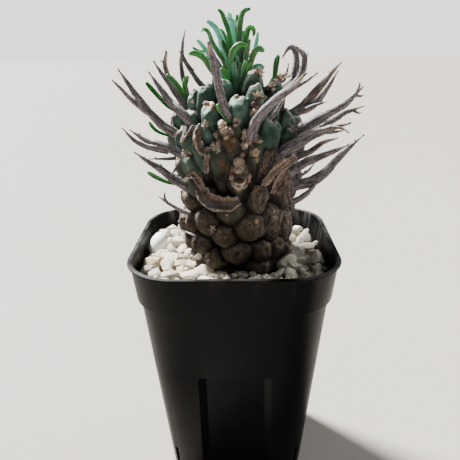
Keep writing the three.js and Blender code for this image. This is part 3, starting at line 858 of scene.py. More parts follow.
# The tubercles that are seen best: side, height of the end, width, tallness, how green the skin is,
# and how much further out than its neighbours it reaches
seenTubercles = [
    (-86, 130, 11, 12, 0.1, 2.6), (-38, 136, 12, 12.5, 0.05, 0.4), (-9, 143, 13, 12, 0.45, 0.3),
    (13, 135, 13.5, 13, 0.0, 0.8), (-16, 130, 12, 10.5, 0.0, 0.2), (-47, 124, 11, 10.5, 0.25, 0.6),
    (-29, 118, 12, 10.5, 0.0, 0.4), (-2, 122.5, 13.5, 11, 0.0, 0.4), (-58, 113, 9, 8, 0.15, 0.2),
    (27, 122, 11.5, 10.5, 0.0, 0.2), (46, 123, 10.5, 11, 0.0, 0.4), (38, 137, 10, 17, 0.0, 0.3),
    (57, 133, 9.5, 17, 0.3, 1.4), (20, 148, 8.5, 12, 0.1, 0.2), (52, 153, 12, 17, 0.0, 0.6),
    (-85, 142, 8.5, 9, 0.2, 0.6), (-52, 152, 9.5, 9, 0.6, 0.2), (-30, 147, 9.5, 9.5, 0.15, -0.4),
    (0, 159, 9.5, 13, 0.1, 0.4), (-17, 156, 8, 9, 0.3, -2.0), (-50, 162, 10.5, 10.5, 0.85, 0.8),
    (29, 164, 9, 11, 0.0, 0.2), (59, 161, 9.5, 9, 0.7, 0.0), (-17, 167, 9.5, 12, 0.65, 0.6),
    (15, 169.5, 7.5, 9.5, 0.55, 0.5), (8, 172, 4, 7, 0.3, 0.4), (-49, 172, 8.5, 12, 0.95, 0.2),
    (32, 175.5, 9.5, 12, 1.0, 0.4), (57, 171.5, 8.5, 9, 0.9, 0.6), (-7, 170.5, 10, 7.5, 0.5, 0.8),
    (-13, 175, 5.5, 7, 0.5, 0.6), (-1.5, 175.4, 5.5, 7, 0.5, 0.6), (-30, 174.5, 7.5, 9, 1.0, -0.6),
    (-87, 170.5, 9, 10.5, 0.9, 2.2), (-88, 176.5, 7, 8, 1.0, 2.2), (61, 178, 9, 9, 0.95, 0.2),
    (-56, 179, 8.5, 7.5, 1.0, 1.0), (-29, 181, 7.5, 9, 1.0, 2.0), (1, 184, 8.5, 10, 1.0, 3.0),
    (15, 179.5, 6.5, 8.5, 1.0, 0.8), (40, 184, 8, 7.5, 1.0, 2.5), (-44, 189, 7.5, 10, 1.0, 5.5),
    (-60, 186, 5.5, 7, 1.0, 3.0), (-18, 191.5, 8, 10, 1.0, 5.5), (23, 189.5, 8.5, 10, 0.9, 6.5),
    (54, 190.5, 8.5, 10, 0.9, 7.5), (31, 194, 9, 11, 0.9, 5.5), (-38, 192.5, 4.5, 6, 1.0, 4.5),
    (-118, 189, 6.5, 8, 1.0, 1.5), (100, 188, 8, 9, 1.0, 2.5), (88, 176, 9, 9, 0.8, 0.4),
    (90, 166, 9, 10, 0.6, 0.4), (86, 152, 10, 11, 0.3, 0.4), (-70, 158, 9, 9, 0.7, 0.4),
    (-62, 144, 9, 9, 0.3, 0.2), (-62, 133, 8.5, 10, 0.05, 0.2),
]
# Fibrous bark instead of smooth skin: side, height, and half the spread in degrees and millimetres
barkPatches = [
    (32, 153, 24, 15), (50, 134, 30, 16), (-75, 136, 14, 12), (205, 132, 45, 18), (120, 128, 30, 12),
]
# Pale crust and rust on the skin: side, height, half size
paleCrusts = [
    (-12.5, 175.8, 1.9), (-1.3, 176.4, 1.7), (-9, 172.9, 2.3), (-27.4, 182, 1.6), (-44, 190.5, 0.8),
    (1, 185.4, 1.0), (17, 180.8, 1.4), (-62, 172, 1.5), (6, 172.3, 1.8), (6, 167.9, 1.8), (14, 165.6, 1.3),
    (1.8, 160, 2.2), (9.3, 154.8, 1.2), (1.7, 153, 2.6), (-18.7, 168.5, 2.2), (-45.5, 163, 1.7),
    (-27.7, 158.8, 1.1), (-60, 150, 1.4), (-86, 145, 1.5), (30, 193, 1.4), (44, 188, 1.5), (-58, 183, 1.2),
    (120, 172, 2.0), (160, 180, 1.6), (205, 170, 2.2), (238, 176, 1.8), (175, 158, 2.2), (140, 160, 2.0),
]
rustSpots = [
    (-6.9, 169, 3.0), (-25, 180.7, 1.6), (-12.2, 161.2, 1.6), (-24, 149.5, 2.9), (56, 180.8, 2.2),
    (44.8, 171.3, 1.8), (26.5, 164.2, 1.9), (-8.2, 157.5, 2.3), (18.8, 151.4, 2.9), (-69, 143.3, 2.2),
    (10, 142, 2.0), (80, 172, 2.0), (150, 168, 2.6), (195, 160, 2.6), (225, 172, 2.2), (110, 152, 2.8),
]
# How far things stand out of the skin, or lie below it where they are cut in
skinRelief = {
    "lumps": [(0.34, 2.6, 1), (0.16, 1.1, 2)], "greenLumps": 0.25, "spotOut": 1.2,
    "barkFill": 0.7, "barkBelow": 1.0, "barkFold": 0.8, "foldScale": 4.2, "barkSqueeze": 0.26,
    "barkOffGreen": 0.7, "barkCrease": 0.2,
    "fibre": 1.0, "fibreScale": 1.5, "fibreSharp": 1.6,
    "crust": 0.3, "crustBumps": 0.5, "crustScale": 1.2,
    "crack": 0.3, "crackScale": 3.4, "crackWidth": 0.07,
    "crease": 0.6, "creaseWidth": 0.12,
    "ring": 0.1, "ringPitch": 4.6, "ringEnd": 5, "ringFade": 3,
    "pit": 0.5, "pitRadius": 1.5, "greenPit": 1.2, "corkyPit": 0.8,
    "rim": 0.22, "rimRadius": 2.0, "rimWidth": 0.5,
}


def spiralHeight(place):
    share = place / (spiral["count"] - 1)
    eased = (1 + spiral["crowding"]) * share - spiral["crowding"] * share * share
    return mix(spiral["firstHeight"], spiral["lastHeight"], eased)


def tubercleAt(n, side, height, width, tall, green, further):
    way = slope(side, valueAt(spiral["lean"], height))
    right = alongside(side)
    end = placeAt(side, valueAt(spiral["reach"], height) + further, height)
    length = valueAt(spiral["length"], height)
    return {"n": n, "height": height, "way": way, "right": right, "upper": np.cross(way, right), "end": end,
            "middle": end - way * length, "width": width, "tall": tall, "length": length, "green": green}


def makeTubercleList():
    # those that are seen best, and the spiral's own wherever there is room
    found = [tubercleAt(300 + n, *one) for n, one in enumerate(seenTubercles)]
    seen = list(found)
    for n in range(spiral["count"]):
        side = spiral["firstSide"] + spiral["goldenAngle"] * n + sway(spiral["swaySide"], n, 4)
        lean = math.radians(valueAt(spiral["lean"], spiralHeight(n)))
        height = spiralHeight(n) + spiral["leanLift"] * math.sin(lean)
        height += sway(spiral["swayHeight"], n, 5)
        green = clamp((height - spiral["greenFrom"]) / spiral["greenOver"] + sway(spiral["swayGreen"], n, 3))
        width, tall = (valueAt(spiral[key], height) * (spiral["smallest"] + spiral["sizeSpread"] * draw(n, k))
                       for key, k in (("width", 2), ("tall", 6)))
        one = tubercleAt(n, side, height, width, tall, green, sway(spiral["swayReach"], n, 7))
        if min(np.linalg.norm(one["end"] - other["end"]) for other in seen) > spiral["clearance"]:
            found.append(one)
    return found


tubercles = makeTubercleList()


def shapeKnob(ball, one):
    # the ball has X across, Y up the stem and Z outwards, each 1 from its middle; low tubercles are domes,
    # high ones are fingers with a notched end and a slim keel below, and those at the crown are cones
    x, y, z = ball.T
    high = clamp((one["height"] - knob["highFrom"]) / knob["highOver"])
    crown = clamp((one["height"] - knob["crownFrom"]) / knob["crownOver"])
    blunt = mix(mix(*knob["blunt"], high), knob["crownBlunt"], crown)
    ring = np.sqrt(np.clip(1 - z * z, 1e-9, 1))
    full = np.clip(1 - np.abs(z) ** blunt, 0, 1) ** (1 / blunt) / ring
    x, y = x * full, y * full
    low = np.clip(-y, 0, 1)
    back = np.clip((0.7 - z) / 1.7, 0, 1)
    x = x * (1 - mix(*knob["keel"], high) * low - knob["backKeel"] * high * back * low)
    y = np.where(y < 0, y * (1 + knob["backKeel"] * high * back), y)
    out = np.clip(z, 0, 1)
    notch = sway(knob["notchSway"], one["n"], 12)
    deep = mix(*knob["notch"], high) * (0.4 + draw(one["n"], 13))
    notched = np.exp(-((x - notch) / knob["notchWidth"]) ** 2) * out ** 3
    z = z - deep * notched * np.where(y > knob["notchLow"], 1, knob["notchBelow"])
    z = z + mix(*knob["droop"], high) * y * out ** 2
    points = np.outer(x * one["width"] / 2, one["right"]) + np.outer(y * one["tall"] / 2, one["upper"])
    points = points + np.outer(z * one["length"], one["way"])
    rough = 1 + knob["rough"] * waves(points + one["middle"], knob["roughScale"], one["n"] % 7)
    return points * rough[:, None] * knob["size"] + one["middle"]


def makeCore():
    # the stem between and under the tubercles, with its root: a disc extruded up the profile
    clearSelection()
    height, radius = stem["core"][0]
    bpy.ops.mesh.primitive_circle_add(vertices=stem["sides"], radius=radius * mm, fill_type="NGON",
                                      location=(0, 0, height * mm))
    core = bpy.context.object
    bpy.ops.object.transform_apply()
    bpy.ops.object.mode_set(mode="EDIT")
    for nextHeight, nextRadius in stem["core"][1:]:
        rise = {"value": (0, 0, (nextHeight - height) * mm)}
        bpy.ops.mesh.extrude_region_move(TRANSFORM_OT_translate=rise)
        share = nextRadius / radius
        bpy.ops.transform.resize(value=(share, share, 1))
        height, radius = nextHeight, nextRadius
    endEditing()
    return takeShape(core)


def ofTubercles(key):
    return np.array([one[key] for one in tubercles])


def markTubercles(points):
    # for each point: the tubercle it is on, how far it is from the next one, and how far behind its end
    nearest = np.full(len(points), 1e9)
    second = np.full(len(points), 1e9)
    owner = np.zeros(len(points), int)
    for i, one in enumerate(tubercles):
        away = points - one["middle"]
        spread = np.sqrt((away @ one["right"] / (one["width"] / 2)) ** 2
                         + (away @ one["upper"] / (one["tall"] / 2)) ** 2
                         + (away @ one["way"] / one["length"]) ** 2)
        closer = spread < nearest
        second = np.where(closer, nearest, np.minimum(second, spread))
        owner = np.where(closer, i, owner)
        nearest = np.where(closer, spread, nearest)
    ends, ways, lengths = (ofTubercles(key)[owner] for key in ("end", "way", "length"))
    return owner, second - nearest, ((ends - points) * ways).sum(axis=1) / lengths


def barkAmount(points):
    sides = np.degrees(np.arctan2(points[:, 0], -points[:, 1]))
    amount = np.zeros(len(points))
    for side, height, halfTurn, halfTall in barkPatches:
        across = ((sides - side + 180) % 360 - 180) / halfTurn
        along = (points[:, 2] - height) / halfTall
        amount = np.maximum(amount, np.exp(-across ** 2 - along ** 2))
    return amount


def spotAmount(points, spots):
    # 1 at the middle of a spot, 0.5 at its edge, and 0 at twice its size
    amount = np.zeros(len(points))
    for side, height, size in spots:
        middle = placeAt(side, valueAt(spiral["reach"], height) + skinRelief["spotOut"], height)
        away = np.linalg.norm(points - middle, axis=1)
        amount = np.maximum(amount, np.clip(1 - 0.5 * away / size, 0, 1))
    return amount


def scarOf(one):
    lift = valueAt(spiral["scarLift"], one["height"])
    across = one["right"] * spiral["swayScar"] * (draw(one["n"], 14) - 0.5)
    return one["end"] + one["upper"] * lift - one["way"] * lift * 0.3 + across


def skinShift(points, green, crease, scar, bark, crust):
    corky = 1 - green
    lumps = layered(points, skinRelief["lumps"])
    shift = lumps * (skinRelief["greenLumps"] + (1 - skinRelief["greenLumps"]) * corky)
    squeezed = points * [1, 1, skinRelief["barkSqueeze"]]
    fibres = 0.5 - abs(waves(squeezed, skinRelief["fibreScale"], 6)) * skinRelief["fibreSharp"]
    folds = waves(squeezed, skinRelief["foldScale"], 5)
    shift += bark * (folds * skinRelief["barkFold"] + fibres * skinRelief["fibre"])
    bumps = skinRelief["crust"] + skinRelief["crustBumps"] * waves(points, skinRelief["crustScale"], 9)
    shift += np.clip(crust * 2 - 0.6, 0, 1) * bumps
    cracks = np.abs(waves(points, skinRelief["crackScale"], 8))
    shift -= skinRelief["crack"] * corky * np.clip(1 - cracks / skinRelief["crackWidth"], 0, 1)
    # the leaf's scar has rings around it, a pit and a rim
    rings = np.sin(scar * skinRelief["ringPitch"])
    nearScar = np.clip((skinRelief["ringEnd"] - scar) / skinRelief["ringFade"], 0, 1)
    shift += skinRelief["ring"] * corky * (1 - bark) * rings * nearScar
    radius = skinRelief["pitRadius"]
    pit = np.where(scar < radius, -skinRelief["pit"] * (1 - (scar / radius) ** 2), 0)
    shift += pit * np.where(green > 0.6, skinRelief["greenPit"], skinRelief["corkyPit"])
    shift += skinRelief["rim"] * np.exp(-((scar - skinRelief["rimRadius"]) / skinRelief["rimWidth"]) ** 2)
    shift -= skinRelief["crease"] * np.clip(1 - crease / skinRelief["creaseWidth"], 0, 1) * (1 - bark)
    return shift


def makeStemSkin():
    material, tree, shader = newMaterial("stemSkin", {"Specular IOR Level": 0.25})
    place = placeOf(tree)
    green, crease, scar, tone, bark, rust, crust, deep = (
        markOf(tree, name) for name in ("green", "crease", "scar", "tone", "bark", "rust", "crust", "deep"))
    patches = mottled(place, 230.0, 1100.0, 0.45)
    # brown cork, with tan ends and bark
    skin = rampOf(patches, [(0, "181311"), (0.4, "2f2822"), (0.7, "473d34"), (1, "776c60")])
    flakes = noiseOf(stretched(place, 1, 1, 0.3), 900.0, 6.0, 0.7)
    barky = rampOf(flakes, [(0.3, "171210"), (0.44, "372d28"), (0.58, "5f544c"), (0.76, "9a8f84")])
    tan = mixColour(rangeOf(tone, 0.55, 1.0, 0, 0.4), skin, paint("453622"))
    tan = mixColour(rangeOf(bark, 0.1, 0.6), tan, barky)
    # green skin: olive where it turns to cork, then teal, and paler on the young growth above
    soft = mottled(place, 120.0, 700.0, 0.2)
    olive = rampOf(soft, [(0, "191d15"), (0.45, "282e22"), (0.8, "3b4433"), (1, "5e6850")])
    teal = rampOf(soft, [(0, "17271f"), (0.45, "233a30"), (0.8, "385245"), (1, "5c7c6f")])
    young = rampOf(soft, [(0, "23392f"), (0.45, "365246"), (0.8, "5d7f71"), (1, "9dbfb1")])
    teal = mixColour(rangeOf(upPart(place), 0.166, 0.19, 0, 0.75), teal, young)
    leafy = mixColour(rangeOf(green, 0.7, 0.98), olive, teal)
    share = rangeOf(plus(green, centred(patches, 0.6)), 0.3, 0.6)
    colour = mixColour(share, tan, leafy)
    # rust, bloom, crust and dust, where the bloom on faces that look up is partly a painted highlight
    ragged = centred(noiseOf(place, 520.0, 5.0, 0.65), 1.1)
    rusty = rangeOf(plus(rust, ragged), 0.42, 0.62)
    crusty = rangeOf(plus(crust, ragged), 0.42, 0.58)
    # glaucous bloom, and a painted highlight on the faces that look up
    bloom = times(settledAndLitOn(place, 170.0, 0.4), rangeOf(green, 0.4, 1.0, 0.1, 0.7))
    dusty = times(times(settledAndLitOn(place, 700.0, 0.35), 0.45), rangeOf(share, 0, 1, 1, 0.2))
    colour = mixColour(times(rusty, 0.78), colour,
                       rampOf(patches, [(0, "2a1a11"), (0.6, "553924"), (1, "7f5c40")]))
    colour = mixColour(bloom, colour, paint("7fa89a"))
    colour = mixColour(times(crusty, 0.9), colour,
                       rampOf(patches, [(0, "74624f"), (0.5, "b9a68f"), (1, "e6d8c3")]))
    colour = mixColour(dusty, colour, paint("a3958a"))
    # a pale broken ring round each scar, a dark scar, and painted shade in the hollows and creases
    tip = times(rangeOf(scar, 1.3, 3.4, 1.0, 0.0), rangeOf(noiseOf(place, 600.0, 4.0), 0.42, 0.6))
    tip = times(tip, rangeOf(tone, 0.2, 0.9, 0.2, 1.0))
    tip = times(tip, rangeOf(green, 0.1, 0.7, 0.3, 1.0))
    colour = mixColour(tip, colour, paint("b39b80"))
    colour = mixColour(rangeOf(scar, 0.4, 0.9, 0.85, 0.0), colour, paint("2b201a"))
    colour = mixColour(rangeOf(deep, 0.5, 0.95, 0.0, 0.9), colour, paint("120e0b"))
    colour = mixColour(rangeOf(crease, 0.02, 0.24, 0.8, 0.0), colour, paint("0c0907"))
    cork = times(noiseOf(place, 1500.0, 6.0, 0.7), rangeOf(share, 0, 1, 1.0, 0.35))
    cork = plus(cork, times(times(flakes, bark), 2.2))
    cork = plus(cork, times(crusty, noiseOf(place, 900.0, 4.0, 0.7)))
    ripples = put(tree, "ShaderNodeMath", {0: times(scar, 6.0)}, operation="SINE").outputs[0]
    ringed = times(ripples, rangeOf(green, 0.0, 0.5, 0.2, 0.03))
    feed(shader, colour=colour, roughness=rangeOf(share, 0, 1, 0.8, 0.55),
         normal=bumpOf(plus(cork, ringed), 0.75, 0.5))
    return material


def makeStemBody():
    ball, ballFaces = newShape(bpy.ops.mesh.primitive_uv_sphere_add, segments=knob["segments"],
                               ring_count=knob["rings"], radius=mm)
    pile = newPile()
    addToPile(pile, *makeCore())
    for one in tubercles:
        addToPile(pile, shapeKnob(ball, one), ballFaces)
    body = pieceFromPile("stemBody", pile)
    selectOnly(body)
    body.data.remesh_voxel_size = stem["voxel"] * mm
    body.data.use_remesh_fix_poles = False
    bpy.ops.object.voxel_remesh()
    applyModifier(body, "SMOOTH", factor=stem["smoothing"], iterations=stem["smoothTimes"])
    points, normals = pointsAndNormals(body.data)
    owner, crease, deep = markTubercles(points)
    scar = np.linalg.norm(points - np.array([scarOf(one) for one in tubercles])[owner], axis=1)
    green = ofTubercles("green")[owner]
    tone = np.array([draw(n, 9) for n in ofTubercles("n")])[owner]
    bark = barkAmount(points) * (1 - skinRelief["barkOffGreen"] * green)
    crust = spotAmount(points, paleCrusts)
    shift = skinShift(points, green, crease, scar, bark, crust)
    # under the bark the tubercles are grown together
    radius = np.hypot(points[:, 0], points[:, 1])
    level = valueAt(spiral["reach"], points[:, 2]) - skinRelief["barkBelow"]
    closer = 1 + skinRelief["barkFill"] * bark * (level / radius - 1)
    placed = points * np.column_stack([closer, closer, np.ones(len(points))]) + normals * shift[:, None]
    movePoints(body.data, placed + stemAxis)
    crease = crease + skinRelief["barkCrease"] * bark
    marks = {"green": green, "crease": crease, "scar": scar, "tone": tone, "deep": deep, "bark": bark,
             "crust": crust, "rust": spotAmount(points, rustSpots)}
    for name, values in marks.items():
        writeMark(body.data, name, values)
    finishPiece(body, makeStemSkin(), "stem")
    return body


# The dead flower stalks

# Each branch: radius at its start, at its end, and its course as (side, reach, height)
seenBranches = [
    (2.1, 0.5, [(-80, 25, 168), (-80, 32.5, 173), (-80, 37.5, 178.5), (-80, 42, 185.5),
                (-80, 47.5, 194.5)]),
    (1.3, 0.45, [(-80, 35.5, 176.5), (-81, 40, 179.5), (-83, 44, 183.5), (-85, 48, 187.5),
                 (-86, 51, 190.5)]),
    (1.2, 0.45, [(-108, 11, 184), (-108, 16.8, 188.4), (-108, 21.4, 194.6), (-108, 24.6, 199.2),
                 (-108, 24.3, 204.4), (-108, 22.8, 208.7)]),
    (1.2, 0.8, [(-104, 19, 177), (-105, 22.2, 182.5), (-105, 24.2, 189.9), (-106, 24.9, 197.2),
                (-107, 24.8, 200)]),
    (1.5, 0.9, [(-105, 20, 176), (-110, 28, 185), (-112, 33, 192), (-112, 34.5, 196.5), (-110, 32.5, 201)]),
    (1.6, 0.5, [(-95, 20.5, 176), (-102, 29, 187.5), (-104, 33.5, 192.5), (-104, 36.5, 197)]),
    (2.1, 0.5, [(-48, 21, 173), (-58, 26, 178.5), (-66, 29, 182.5), (-72, 32, 187.5), (-76, 35.5, 193)]),
    (2.2, 0.5, [(-58, 23, 160), (-66, 28.5, 163.2), (-70, 33, 165), (-74, 38, 166.8), (-76, 42, 169),
                (-78, 45, 171.2)]),
    (1.4, 0.4, [(-68, 31, 162.8), (-70, 40, 165.4), (-70, 45, 168.6), (-70, 48, 172.5)]),
    (0.7, 0.3, [(-66, 28.5, 160), (-66, 32, 160), (-66, 38.5, 160.6)]),
    (0.8, 0.35, [(-62, 26, 160), (-58, 30, 156.5), (-58, 32, 154.5)]),
    (2.0, 0.45, [(-58, 24, 147), (-62, 31, 152.3), (-64, 35, 156), (-66, 39.5, 159.3), (-68, 44.5, 163.3)]),
    (1.0, 0.35, [(-58, 24, 136), (-66, 28.5, 137.5), (-68, 32, 140), (-70, 36, 143.5)]),
    (0.5, 0.25, [(-68, 32.5, 140.5), (-68, 34, 143), (-68, 33.5, 146)]),
    (0.7, 0.3, [(-46, 25, 127), (-55, 26.8, 128), (-62, 27.8, 128.4)]),
    (1.8, 1.25, [(-7, 21, 175), (-12, 26, 184), (-15, 28, 191), (-16, 29, 197.5), (-19, 30, 203.5)]),
    (2.0, 0.8, [(9, 24.5, 168.5), (13, 30, 177), (17, 34, 182), (22, 39, 186.5), (25, 43, 188.5),
                (28, 47, 193.5)]),
    (0.8, 0.4, [(25, 42.5, 188.5), (30, 46, 191.5), (33, 47.5, 193.5)]),
    (0.8, 0.45, [(27, 27, 177.5), (27, 30, 179.5), (28, 33, 182.5), (28, 36, 185.5)]),
    (1.7, 0.8, [(108, 18, 184), (112, 26, 189), (114, 28, 195), (116, 28, 200.5), (116, 26, 202.5),
                (114, 23, 202), (112, 21, 199)]),
    (1.7, 1.0, [(100, 20, 184), (102, 27, 189.5), (104, 29.5, 195), (106, 29.5, 199.5), (110, 27, 202)]),
    (0.8, 0.35, [(110, 22, 186), (112, 28, 191), (110, 31, 196), (108, 31.5, 199)]),
    (0.9, 0.4, [(124, 22, 186), (122, 25, 190), (120, 25.5, 195)]),
    (2.4, 0.5, [(100, 23, 175), (100, 29, 178.5), (98, 32.5, 183), (96, 37, 188.5), (96, 40.5, 193),
                (96, 43, 195.5)]),
    (1.7, 0.4, [(92, 24, 176), (92, 31, 178), (90, 35, 182), (90, 38.5, 188), (90, 41, 192.5)]),
    (0.8, 0.35, [(86, 28.5, 178), (84, 31.5, 179.5), (82, 36.5, 181)]),
    (2.5, 0.6, [(58, 23, 168), (66, 32, 173.5), (68, 38.5, 177.5), (70, 44.5, 181), (71, 48, 185),
                (72, 50, 187)]),
    (0.6, 0.25, [(71, 48, 184.5), (73, 50, 184), (74, 51, 184.5)]),
    (0.6, 0.25, [(71, 48.5, 185.5), (70, 49.5, 188), (69, 49.5, 189.5)]),
    (1.8, 0.5, [(72, 22, 166), (78, 32, 169.5), (80, 39.5, 173.5), (80, 45, 177.5), (80, 51, 179.5)]),
    (0.6, 0.25, [(80, 47.5, 178), (79, 49.5, 177), (78, 51, 177.5)]),
    (2.6, 0.7, [(40, 21, 159.5), (48, 27, 165), (52, 32.5, 168.5), (56, 37.5, 171.5), (58, 42.5, 173.5),
                (60, 48, 175)]),
    (0.9, 0.35, [(55, 36, 170.5), (56, 42, 173.5), (57, 46, 174), (58, 48, 172.5)]),
    (0.8, 0.35, [(57, 39, 171.5), (59, 43, 171.5), (61, 46.5, 172.5)]),
    (1.6, 0.4, [(68, 24, 158.5), (72, 32, 162), (74, 36, 165.5), (76, 41.5, 167)]),
    (2.1, 0.6, [(52, 23.5, 152), (60, 31.5, 158.5), (64, 38, 161.5), (66, 43.5, 164), (67, 46.5, 165.5)]),
    (2.6, 0.5, [(68, 24, 147), (74, 29.5, 147.5), (76, 33, 148.5), (80, 38.5, 153), (84, 43.5, 158),
                (86, 48, 162.5), (88, 53, 166.5)]),
    (0.7, 0.3, [(72, 26, 150), (76, 31, 153), (78, 33, 156)]),
    (1.6, 0.5, [(64, 22, 138.5), (68, 28.5, 141.5), (70, 32, 145), (72, 35, 148.5)]),
    (0.28, 0.2, [(64, 27, 176), (48, 28, 177.5), (43, 28.5, 175), (50, 28.5, 172), (66, 27.5, 171.5),
                 (72, 27, 174)]),
]
# Those behind: each row's height, how many it has, the sides they stand between, the longest and the steepest
hiddenStalks = {
    "rows": [(141, 4, 128, 236, 30, 34), (152, 4, 134, 226, 27, 28), (163, 4, 140, 222, 22, 22),
             (172, 2, 172, 196, 15, 30)],
    "curl": 12, "curlFrom": 2, "curlOver": 2.5, "radius": (1.6, 2.1), "tipRadius": 0.5, "rootDepth": 3,
    "steps": 5, "firstShare": 0.25, "oddRowShift": 0.5,
    "shortest": 0.7, "flattest": 0.5, "swaySide": 0.3, "swayHeight": 5,
    "forkAt": 3, "forkTurn": 12, "forkLength": 5, "forkLift": 1, "forkRadius": 0.55, "forkTipRadius": 0.4,
}
stalk = {
    "spacing": 2.2, "endPower": 1.6, "tipShare": 0.12, "tipSlimmer": 0.45, "twist": 0.1,
    "wobble": 0.4, "wobbleScale": 7.0, "wobbleLength": 12, "swell": 0.15, "swellScale": 3.4,
    "bareBelow": 6, "stubEvery": 11, "stubLength": (0.5, 1.2), "stubRadius": 0.4, "stubPlaces": (0.25, 0.9),
    "stubAhead": 0.9, "stubTaper": (1.2, 0.4), "stubPoints": 6, "lumps": [(0.12, 1.3, 0), (0.08, 0.7, 1)],
    "splitLength": (0.6, 1.5), "splitSpread": 0.3, "splitRoot": -0.25, "splitTaper": (0.6, 0.3),
    "sectionPoints": 20, "ridges": [(3, 0.05), (5, 0.04), (9, 0.03)], "creaseAngle": 50,
}
# Peeled strips of dead wood, open like a boat: width, thickness, course, and where the hollow faces
peeledStrips = [
    (3.0, 0.5, [(-50, 28.5, 153.5), (-41.5, 29, 155.5), (-36, 28.5, 155), (-33, 28, 152.5),
                (-32, 27, 149.5)], (-20, 50)),
    (5.8, 0.9, [(-34, 27.5, 150.5), (-27, 29, 147), (-19.5, 29, 145.3), (-11, 28.5, 145), (-5, 28, 145.2),
                (1, 27.5, 146.5)], (-14, 34)),
    (3.6, 0.7, [(-31, 26.5, 175), (-33, 28.5, 171.5), (-31, 29, 168), (-27.5, 29, 165.5),
                (-23.5, 28.5, 165.5), (-18, 27, 166.5)], (62, 8)),
    (1.8, 0.5, [(-23.5, 28.5, 165), (-26, 28, 161), (-27.5, 27, 156)], (-20, 10)),
    (2.4, 0.6, [(-46.5, 25, 174.5), (-45.5, 28.5, 171.5), (-45, 31.5, 168.5)], (-60, 40)),
    (3.8, 0.6, [(22, 26.5, 151), (27.5, 30, 157), (31, 33, 160.5), (33.5, 36, 162.5),
                (36, 37.5, 163.5)], (50, 30)),
    (1.6, 0.5, [(42.5, 30, 157), (38.5, 29.5, 154.5), (33, 28, 151), (30, 26.5, 147.5)], (30, 10)),
    (1.3, 0.4, [(35.5, 33, 160), (31.5, 30.5, 155.5), (29.5, 28, 150)], (30, 10)),
    (2.4, 0.5, [(165, 27, 160), (172, 29, 157), (178, 28.5, 153), (182, 27, 150)], (170, 30)),
]
stripShape = {
    "cells": 10, "spacing": 0.9, "ends": 0.3, "wider": 0.6, "ragged": 0.35, "hollow": 0.3,
    "openness": 1.4, "swayOpenness": 0.5, "swayTurn": 0.32, "rough": 2.6, "darkest": 0.55, "darkSharp": 3,
}


def sectionCurve(name):
    # the furrowed outline of a stalk, one millimetre in radius
    curve = bpy.data.curves.new(name, "CURVE")
    curve.dimensions = "2D"
    spline = curve.splines.new("POLY")
    spline.points.add(stalk["sectionPoints"] - 1)
    for i, point in enumerate(spline.points):
        a = 2 * math.pi * i / stalk["sectionPoints"]
        radius = 1 + sum(height * math.sin(count * a + count) for count, height in stalk["ridges"])
        point.co = (radius * math.cos(a) * mm, radius * math.sin(a) * mm, 0, 1)
    spline.use_cyclic_u = True
    section = bpy.data.objects.new(name, curve)
    bpy.context.scene.collection.objects.link(section)
    return section


def spaced(course, spacing):
    # points at even steps along a course, at least six, with their shares of its length
    course = np.array(course)
    steps = np.concatenate([[0], np.cumsum(np.linalg.norm(np.diff(course, axis=0), axis=1))])
    at = np.linspace(0, steps[-1], max(6, round(steps[-1] / spacing) + 1))
    return np.column_stack([np.interp(at, steps, course[:, k]) for k in range(3)]), at / steps[-1], steps[-1]


def grainAlong(points, line):
    # for each point: its distance along the line, its place across it, and its share of the length
    fine, shares, length = spaced(line, 0.35)
    near = np.linalg.norm(points[:, None, :] - fine[None, :, :], axis=2).argmin(axis=1)
    offset = points - fine[near]
    across = unit(np.cross(line[-1] - line[0], [0.13, 0.21, 0.97]))
    above = unit(np.cross(across, line[-1] - line[0]))
    return np.column_stack([shares[near] * length, offset @ across, offset @ above]), shares[near]


def addSwept(pile, line, radii, section, seed):
    # a curve with the furrowed section swept along it, slightly twisted, and plainer on a stub
    clearSelection()
    bpy.ops.curve.primitive_nurbs_path_add()
    swept = bpy.context.object
    curve = swept.data
    spline = curve.splines[0]
    spline.points.add(len(line) - len(spline.points))
    for i, (point, place, radius) in enumerate(zip(spline.points, line, radii)):
        point.co = (*(place * mm), 1)
        point.radius = radius
        point.tilt = fullTurn * draw(seed, 70) + stalk["twist"] * i
    spline.order_u = 4
    spline.use_endpoint_u = True
    curve.resolution_u = 3 if len(line) > stalk["stubPoints"] else 1
    curve.bevel_mode = "OBJECT"
    curve.bevel_object = section
    curve.use_fill_caps = True
    curve.twist_mode = "MINIMUM"
    bpy.ops.object.convert(target="MESH")
    points, faces = takeShape(bpy.context.object)
    grain, share = grainAlong(points, line)
    grain = grain + [60 * draw(seed, 71), 9 * draw(seed, 72), 9 * draw(seed, 73)]
    addToPile(pile, points, faces, grain=grain, share=share, tone=draw(seed, 74))


